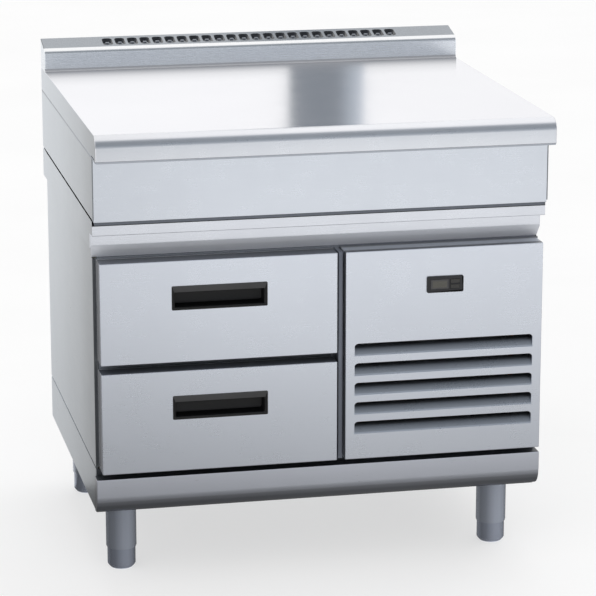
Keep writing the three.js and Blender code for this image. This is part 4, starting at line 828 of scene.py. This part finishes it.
# the cove that joins it to the worktop
cove_radius, lap = 0.006, 0.0004
cove = [(upstand_low.y - cove_radius * (1 - math.sin(math.radians(a))),
         worktop_high.z + 0.0001 + cove_radius * (1 - math.cos(math.radians(a)))) for a in range(0, 91, 15)]
cove += [(upstand_low.y + lap, cove[-1][1]), (upstand_low.y + lap, worktop_high.z - lap),
         (cove[0][0], worktop_high.z - lap)]
shape = skin([[(x, *point) for point in cove] for x in (upstand_low.x + lap, upstand_high.x - lap)])
attach(solid("upstand_cove", shape, cove_steel), "cabinet").visible_glossy = False

# the vents, laid on the sloped top
slope_end = max(section, key=lambda point: (round(point.z, 5), -point.y))
slope_start = max((point for point in section if point.y < upstand_high.y - 0.02), key=lambda point: point.z)
vent_front, vent_back, vent_pitch, vent_count = 0.3555, 0.3925, 0.027, 24
vent_slope = math.atan2(slope_end.z - slope_start.z, slope_end.y - slope_start.y)
vent_y = (vent_front + vent_back) / 2
vent_middle = Vector((0, vent_y, slope_start.z + (vent_y - slope_start.y) * math.tan(vent_slope)))


def vent_row(name, lift, **sizes):
    """A row of oblongs, one at each vent, lifted from the sloped top."""
    piece = vents.grow(name, pitch=vent_pitch, count=vent_count, **sizes)
    turn = Euler((vent_slope, 0, 0)).to_matrix()
    first = vent_middle - Vector((vent_pitch * (vent_count - 1) / 2, 0, 0))
    for point in piece.data.vertices:
        point.co = turn @ (point.co + Vector((0, 0, lift))) + first
    return piece


holes = vent_row("vent_holes", -0.0115, width=0.0215, length=vent_back - vent_front, height=0.024, corner=0.007)
cut = upstand.modifiers.new("vent_cut", "BOOLEAN")
cut.object, cut.operation, cut.solver = holes, "DIFFERENCE", "EXACT"
plain(upstand)
bpy.data.objects.remove(holes)
upstand.data.materials.clear()
for finish in (upstand_steel, polished_steel, upstand_top_steel, dim_steel):
    upstand.data.materials.append(finish)
HIGHLIGHT, TOP, SHADED = 1, 2, 3
# the walls and floors of the vents take the dark steel as painted shadow
for face in upstand.data.polygons:
    x, y, z = face.center
    inside = vent_front - 0.0005 < y < vent_back + 0.0005 and z > upstand_low.z + 0.02
    if face.normal.y < -0.5 and y > upstand_low.y + 0.02:
        face.material_index = SHADED
    elif face.normal.z > 0.94 and y > slope_start.y - 0.0005:
        face.material_index = SHADED if inside and z < vent_middle.z - 0.008 else TOP
    elif inside and (abs(face.normal.x) < 0.999 or abs(x) < 0.4):
        face.material_index = SHADED
    # the nose faces take the lighter steel as painted highlight
    elif face.normal.y < -0.12 and face.normal.z > 0.3:
        face.material_index = HIGHLIGHT
stand_for(settle(upstand), "rear_upstand")
bars = vent_row("vent_bars", -0.0105, width=0.0085, length=0.0058, height=0.0085, corner=0.0028)
attach(bars, "cabinet").visible_glossy = False

# Legs and feet

for place in ("front_left", "front_right", "rear_left", "rear_right"):
    low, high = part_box(f"leg_{place}")
    centre = ((low.x + high.x) / 2, (low.y + high.y) / 2)
    sleeve = low.z - 0.009
    tube = turned(f"leg_tube_{place}", centre, [
        (0.0287, sleeve + 0.012), (0.0287, sleeve), (0.0293, sleeve), (0.0305, sleeve + 0.003),
        (0.0305, high.z - 0.009), (0.0312, high.z - 0.0075), (0.0322, high.z - 0.0045), (0.0338, high.z - 0.003),
        (0.0338, high.z - 0.0015), (0, high.z - 0.0015)], leg_steel)
    shape = block((low.x, low.y, high.z - 0.003), high)
    round_off(shape, [edge for edge in shape.edges if runs(edge, 2, 0.001)], 0.008, 6)
    flange = solid(f"leg_flange_{place}", shape, leg_steel)
    stand_for(joined(f"leg_{place}_turned", [tube, flange]), f"leg_{place}")
    bolts = [((centre[0] + x, centre[1] + y, high.z - 0.003), (0, 0, -1))
             for x in (-0.036, 0.036) for y in (-0.036, 0.036)]
    screw_set(f"leg_bolts_{place}", "cabinet", "dark_steel", bolts, 0.0052, 0.0045)
    low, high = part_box(f"foot_{place}")
    stand_for(turned(f"foot_{place}_turned", centre, [
        (0, 0.0008), (0.0165, 0.0008), (0.018, 0), (0.0205, 0), (0.0222, 0.0008), (0.0268, 0.006), (0.0282, 0.0084),
        (0.0282, 0.046), (0.0282, 0.0513), (0.0278, 0.0517), (0.0125, 0.0517), (0.012, 0.0525),
        (0.012, high.z - 0.001), (0.011, high.z), (0, high.z)], foot_steel), f"foot_{place}")

# Drawer pulls, gaskets and slides

# left and right, bottom, and top margins, depth behind the rim, and corner radius
pull_steps = [
    (0.009, 0.009, 0.011, 0.0305, 0.003), (0.004, 0.004, 0.0045, 0.0308, 0.003),
    (0.0035, 0.0035, 0.0035, 0.0016, 0.002), (0.0003, 0.0003, 0.0003, 0.0016, 0.0022),
    (0.0, 0.0, 0.0, 0.0011, 0.0025), (0.0002, 0.0002, 0.0002, 0.0004, 0.0024),
    (0.0008, 0.0008, 0.0008, 0.0, 0.002), (0.0018, 0.0018, 0.0018, 0.0, 0.0016),
    (0.0055, 0.0045, 0.0128, 0.0026, 0.0012), (0.0062, 0.005, 0.0138, 0.0034, 0.001),
    (0.0062, 0.005, 0.0138, 0.0048, 0.001), (0.0055, 0.0048, 0.007, 0.0056, 0.002),
    (0.0056, 0.0052, 0.0056, 0.012, 0.003), (0.0075, 0.008, 0.0075, 0.0285, 0.005),
    (0.0105, 0.011, 0.0105, 0.0298, 0.004)]
# inset from the outer edge, and share of the depth
gasket_steps = [
    (0.001, 0.0), (0.0, 0.12), (0.0, 0.25), (0.0028, 0.36), (0.0004, 0.47), (0.0004, 0.6), (0.0034, 0.7),
    (0.0016, 0.8), (0.002, 0.94), (0.0034, 1.0), (0.0106, 1.0), (0.012, 0.94), (0.0124, 0.8),
    (0.0106, 0.7), (0.0136, 0.6), (0.0136, 0.47), (0.0112, 0.36), (0.014, 0.25), (0.014, 0.12), (0.013, 0.0)]

for level in ("upper", "lower"):
    low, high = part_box(f"handle_{level}")
    lines = [outline(low.x + side, high.x - side, low.z + base, high.z - top, low.y + depth, radius)
             for side, base, top, depth, radius in pull_steps]
    pull = solid(f"handle_{level}_moulded", skin(lines), black_plastic, lip_plastic, smooth_below=24.0)
    # the upper lip's front faces take the paler plastic as painted highlight
    for face in pull.data.polygons:
        if face.normal.y < -0.6 and face.center.z > high.z - 0.0129 and face.center.y < low.y + 0.003:
            face.material_index = 1
    stand_for(pull, f"handle_{level}")
    low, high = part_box(f"gasket_{level}")
    lines = []
    for inset, share in gasket_steps:
        left, right, y = low.x + inset, high.x - inset, low.y + share * (high.y - low.y)
        lines.append([(x, y, z) for x, z in (
            (left, low.z + inset), (right, low.z + inset), (right, high.z - inset), (left, high.z - inset))])
    stand_for(solid(f"gasket_{level}_moulded", skin(lines, caps=False), gasket_rubber), f"gasket_{level}")
    for side in ("left", "right"):
        formed(f"slide_middle_{level}_{side}", galvanised, 0.0004, sheet_limit=0.002)

for side in ("left", "right"):
    formed(f"slide_rack_{side}", galvanised, 0.0004, sheet_limit=0.002)

# Controller: a case with rounded corners

case_low, case_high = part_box("controller_case")


def is_case_corner(edge):
    middle = middle_of(edge)
    return (runs(edge, 1, 0.0015)
            and min(abs(middle.x - case_low.x), abs(middle.x - case_high.x)) < near
            and min(abs(middle.z - case_low.z), abs(middle.z - case_high.z)) < near)


formed("controller_case", dark_plastic, 0.0006, trim=0.0002, sheet_limit=0.001, rounder=(is_case_corner, 0.0035))

# Heat exchangers: fins, end plates, and tubes with return bends

def exchanger(node, fin_pitch, pairs):
    """A finned coil in the box of a node, with its return bends inside the ends of the box."""
    low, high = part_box(node)
    middle, size = (low + high) / 2, high - low
    pitch, end = 0.019, 0.014
    span = size.x - 2 * end
    count = int((span - 0.006) / fin_pitch)
    parts = [moved(fins.grow(f"{node}_fins", count=count, pitch=fin_pitch, depth=size.y - 0.002, height=size.z - 0.004),
                   middle.x - fin_pitch * (count - 1) / 2, middle.y, middle.z)]
    for side in (-1, 1):
        x = middle.x + side * (span / 2 - 0.001)
        parts.append(bar(
            f"{node}_plate", (x - 0.001, low.y, low.z), (x + 0.001, high.y, high.z), galvanised, bend=0.0003))
        parts.append(moved(coils.grow(f"{node}_coil", pairs=pairs, span=span + 0.003, pitch=pitch, radius=0.0045),
                           middle.x, middle.y + side * size.y * 0.24, middle.z - pitch * (2 * pairs - 1) / 2))
    stand_for(joined(f"{node}_finned", parts), node)


exchanger("condenser", 0.0032, 8)
exchanger("evaporator", 0.004, 6)

# Air vents in the back: a pressed hood over each slot

attach(moved(hoods.grow("back_vent_hoods", count=8, pitch=0.024),
             (panel_low.x + panel_high.x) / 2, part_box("cabinet_back")[1].y, 0.3445), "cabinet")

# Compressor: a weld bead round the shell and a terminal cover

shell_low, shell_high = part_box("compressor")
shell = (shell_low + shell_high) / 2
weld = beads.grow("compressor_weld", radius=(shell_high.y - shell_low.y) / 2, bead=0.0016)
attach(moved(weld, shell.x, shell.y, 0.335), "cabinet")
bar("compressor_terminal_cover", (shell.x - 0.026, shell_low.y - 0.009, 0.275),
    (shell.x + 0.026, shell_low.y + 0.006, 0.325), black_plastic, bend=0.003)

# Finishes of the nodes that keep their own shape

lens_low, lens_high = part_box("display_lens")
lens = (lens_low + lens_high) / 2
for finish, members in (
        (galvanised, ("bench_floor", "partition_panel")), (inner_steel, ("inner_liner",)), (foam, ("insulation",)),
        (key_plastic, ("controller_key_upper", "controller_key_lower")),
        (black_paint, ("fan_shroud", "fan_motor", "compressor")), (fin_aluminium, ("condenser_fan",)),
        (copper, ("discharge_pipe", "suction_pipe", "filter_drier")),
        (black_plastic, ("cable_gland", "evaporator_fan")),
        (smoked_window("smoked_lens", lens.x, 0.0145, lens.z, 0.0065), ("display_lens",))):
    for node in members:
        nodes[node].data.materials.clear()
        nodes[node].data.materials.append(finish)

# Screws

def screws_on(name, node, starts, facing, **sizes):
    """Screw heads on a node, where it is met from the start points against the way that they face."""
    mesh = nodes[node].data
    surface = BVHTree.FromPolygons(
        [point.co for point in mesh.vertices], [face.vertices[:] for face in mesh.polygons])
    hits = [surface.ray_cast(Vector(start), -Vector(facing)) for start in starts]
    places = [(place, normal) for place, normal, _, _ in hits if place]
    screw_set(name, body_of[node], slot_of[node], places, **sizes)


def grid(xs, ys, zs):
    return [(x, y, z) for x in xs for y in ys for z in zs]


for node, starts in (("cabinet_back", grid((-0.42, -0.21, 0.0, 0.21, 0.42), (1,), (0.25, 0.64))),
                     ("bench_back", grid((-0.43, -0.145, 0.145, 0.43), (1,), (0.756, 0.85))),
                     ("top_frame", grid((-0.43, 0.0, 0.43), (1,), (0.7,))),
                     ("base_frame", grid((-0.42, -0.14, 0.14, 0.42), (1,), (0.178,)))):
    screws_on(f"{node}_screws", node, starts, (0, 1, 0))
screws_on("housing_screws", "evaporator_housing", grid((-0.372, -0.043), (0.1,), (0.4, 0.53, 0.628)), (0, -1, 0))
screws_on("electrical_box_screws", "electrical_box", grid((0.3,), (-0.163, -0.052), (0.48, 0.59)), (-1, 0, 0))
screws_on("fan_shroud_screws", "fan_shroud", grid((0.094, 0.396), (0.1,), (0.216, 0.496)), (0, 1, 0))
screws_on("fan_motor_screws", "fan_motor", grid((0.225, 0.257), (0.1,), (0.352,)), (0, 1, 0), radius=0.0025)
for side, facing in (("left", 1), ("right", -1)):
    screws_on(f"slide_rack_screws_{side}", f"slide_rack_{side}",
              grid((-0.2076,), (-0.22, 0.0, 0.18), (0.3, 0.44, 0.52, 0.61)), (facing, 0, 0), radius=0.0028)
for level, z in (("upper", 0.575), ("lower", 0.356)):
    screws_on(f"drawer_rivets_{level}", f"drawer_box_{level}", grid((-0.335, -0.08), (0.0,), (z - 0.05, z)), (0, 1, 0),
              radius=0.0028, height=0.0018)

# Floor, light and camera

def flat_sheet(name, low, high, finish):
    """A flat sheet of the studio, level or facing Y, from its lowest to its highest corner."""
    mesh = bpy.data.meshes.new(name)
    mesh.from_pydata([low, (high[0], *low[1:]), high, (low[0], *high[1:])], [], [(0, 1, 2, 3)])
    held = keep(name, mesh, finish)
    return held


paper = Recipe("floor_paper")
paper.coat(paper.blend(paper.spread(paper.noise(1.5, 3.0), 0.0, 1.0), tone("a9a9a9"), tone("a5a5a5")), 0.9)
for name, value in (("Specular IOR Level", 0.0), ("Emission Color", (1, 1, 1, 1)), ("Emission Strength", 0.6)):
    paper.set(paper.shader.inputs[name], value)
flat_sheet("floor", (-30, -30, 0), (30, 30, 0), paper.finish)


def card(name, low, high, axis, stops, cross=None, tint=(1.0, 1.0, 1.0), cover=None):
    """A studio card that only reflections see. Its tone changes along one axis, and across it where cross says.
    cover has (place, share) stops along the axis for a card that thins out to nothing."""
    made = Recipe(name)
    made.tree.nodes.remove(made.shader)
    place = made.put("ShaderNodeSeparateXYZ", Vector=made.place).outputs
    colour = made.ramp(place[axis], stops, tint)
    if cross:
        along, (near_side, near_level), (far_side, far_level) = cross
        level = made.spread(place[along], near_level, far_level, near_side, far_side)
        colour = made.blend(1.0, colour, level, "MULTIPLY")
    look = made.put("ShaderNodeEmission", Color=colour, Strength=1.0).outputs[0]
    if cover:
        clear = made.put("ShaderNodeBsdfTransparent").outputs[0]
        look = made.put("ShaderNodeMixShader", Fac=made.ramp(place[axis], cover), n1=clear, n2=look).outputs[0]
    made.set(made.output.inputs["Surface"], look)
    held = flat_sheet(name, low, high, made.finish)
    for ray in ("camera", "diffuse", "transmission", "volume_scatter", "shadow"):
        setattr(held, f"visible_{ray}", False)


# painted shadow: the floor card darkens towards and under the cabinet, as its shadow on the floor in reflections, and
# towards the left
card("floor_card", (-2.4, -4.6, 0.002), (3.2, 0.3, 0.002), 1, [
    (-4.6, 0.88), (-2.9, 0.88), (-2.5, 0.83), (-2.1, 0.74), (-1.85, 0.65), (-1.55, 0.52), (-1.27, 0.46), (-1.05, 0.45),
    (-0.85, 0.34), (-0.6, 0.18), (0.3, 0.18)], (0, (-0.35, 0.74), (0.2, 1.03)))
card("side_card", (-4.0, 0.3, 0.003), (-0.47, 7.0, 0.003), 1, [(0.3, 0.6), (3.0, 0.85), (7.0, 0.9)])
card("front_card", (-3.0, -2.6, 0.64), (3.6, -2.6, 7.0), 2, [
    (0.64, 0.84), (0.86, 0.42), (1.8, 0.27), (4.2, 0.3), (5.6, 0.6), (7.0, 1.0)], tint=(0.92, 1.0, 1.1))
card("back_card", (0.56, 2.6, 0.9), (0.79, 2.6, 3.6), 2, [
    (0.9, 0.25), (3.0, 0.25), (3.6, 0.9)], (0, (0.71, 1.0), (0.8, 2.6)), tint=(0.92, 1.0, 1.1))

# painted shadow: a card that only reflections see, darkest at its foot, shades the worktop just in front of the upstand
foot_shadow_y, foot, rim = 0.3338, worktop_high.z + 0.0003, worktop_high.z + 0.0303
card("upstand_veil", (upstand_low.x, foot_shadow_y, foot), (upstand_high.x, foot_shadow_y, rim), 2, [
    (foot, 0.31), (rim, 0.38)], tint=(0.96, 1.0, 1.06), cover=[
    (foot, 1.0), (foot + 0.0015, 0.97), (foot + 0.003, 0.86), (foot + 0.007, 0.62), (foot + 0.0115, 0.4),
    (foot + 0.0155, 0.22), (foot + 0.022, 0.14), (rim, 0.0)])

world = bpy.data.worlds.new("studio")
scene.world = world
world.use_nodes = True
sky = Tree(world.node_tree)
rays = sky.put("ShaderNodeLightPath").outputs
seen = sky.sum(rays["Is Camera Ray"], rays["Is Glossy Ray"], "MAXIMUM")
seen = sky.sum(seen, rays["Is Transmission Ray"], "MAXIMUM")
strength = sky.put("ShaderNodeMapRange", Value=seen, To_Min=0.5, To_Max=1.0).outputs[0]
air = sky.put("ShaderNodeBackground", Color=(1, 1, 1, 1), Strength=strength)
sky.put("ShaderNodeOutputWorld", Surface=air.outputs[0])

# wide, far lamps that shine to the middle of the floor and aren't mirrored in the steel
for name, place, power, spread in (("key_sun", (1.2, 1.6, 3.2), 1.0, 60), ("fill_sun", (-1.4, -2.4, 3.0), 0.9, 70)):
    lamp = bpy.data.lights.new(name, "SUN")
    lamp.energy, lamp.angle = power, math.radians(spread)
    sun = bpy.data.objects.new(name, lamp)
    sun.rotation_euler = (-Vector(place)).to_track_quat("-Z", "Y").to_euler()
    sun.visible_glossy = False
    scene.collection.objects.link(sun)

camera = bpy.data.objects.new("camera", bpy.data.cameras.new("camera"))
camera.data.lens, camera.data.sensor_width = 168.63, 36
camera.location = (-1.16184, -5.48486, 1.91274)
camera.rotation_euler = Euler((math.radians(75.679), 0, math.radians(-12.207)), "XYZ")
scene.collection.objects.link(camera)
scene.camera = camera
scene.view_settings.view_transform = "Standard"
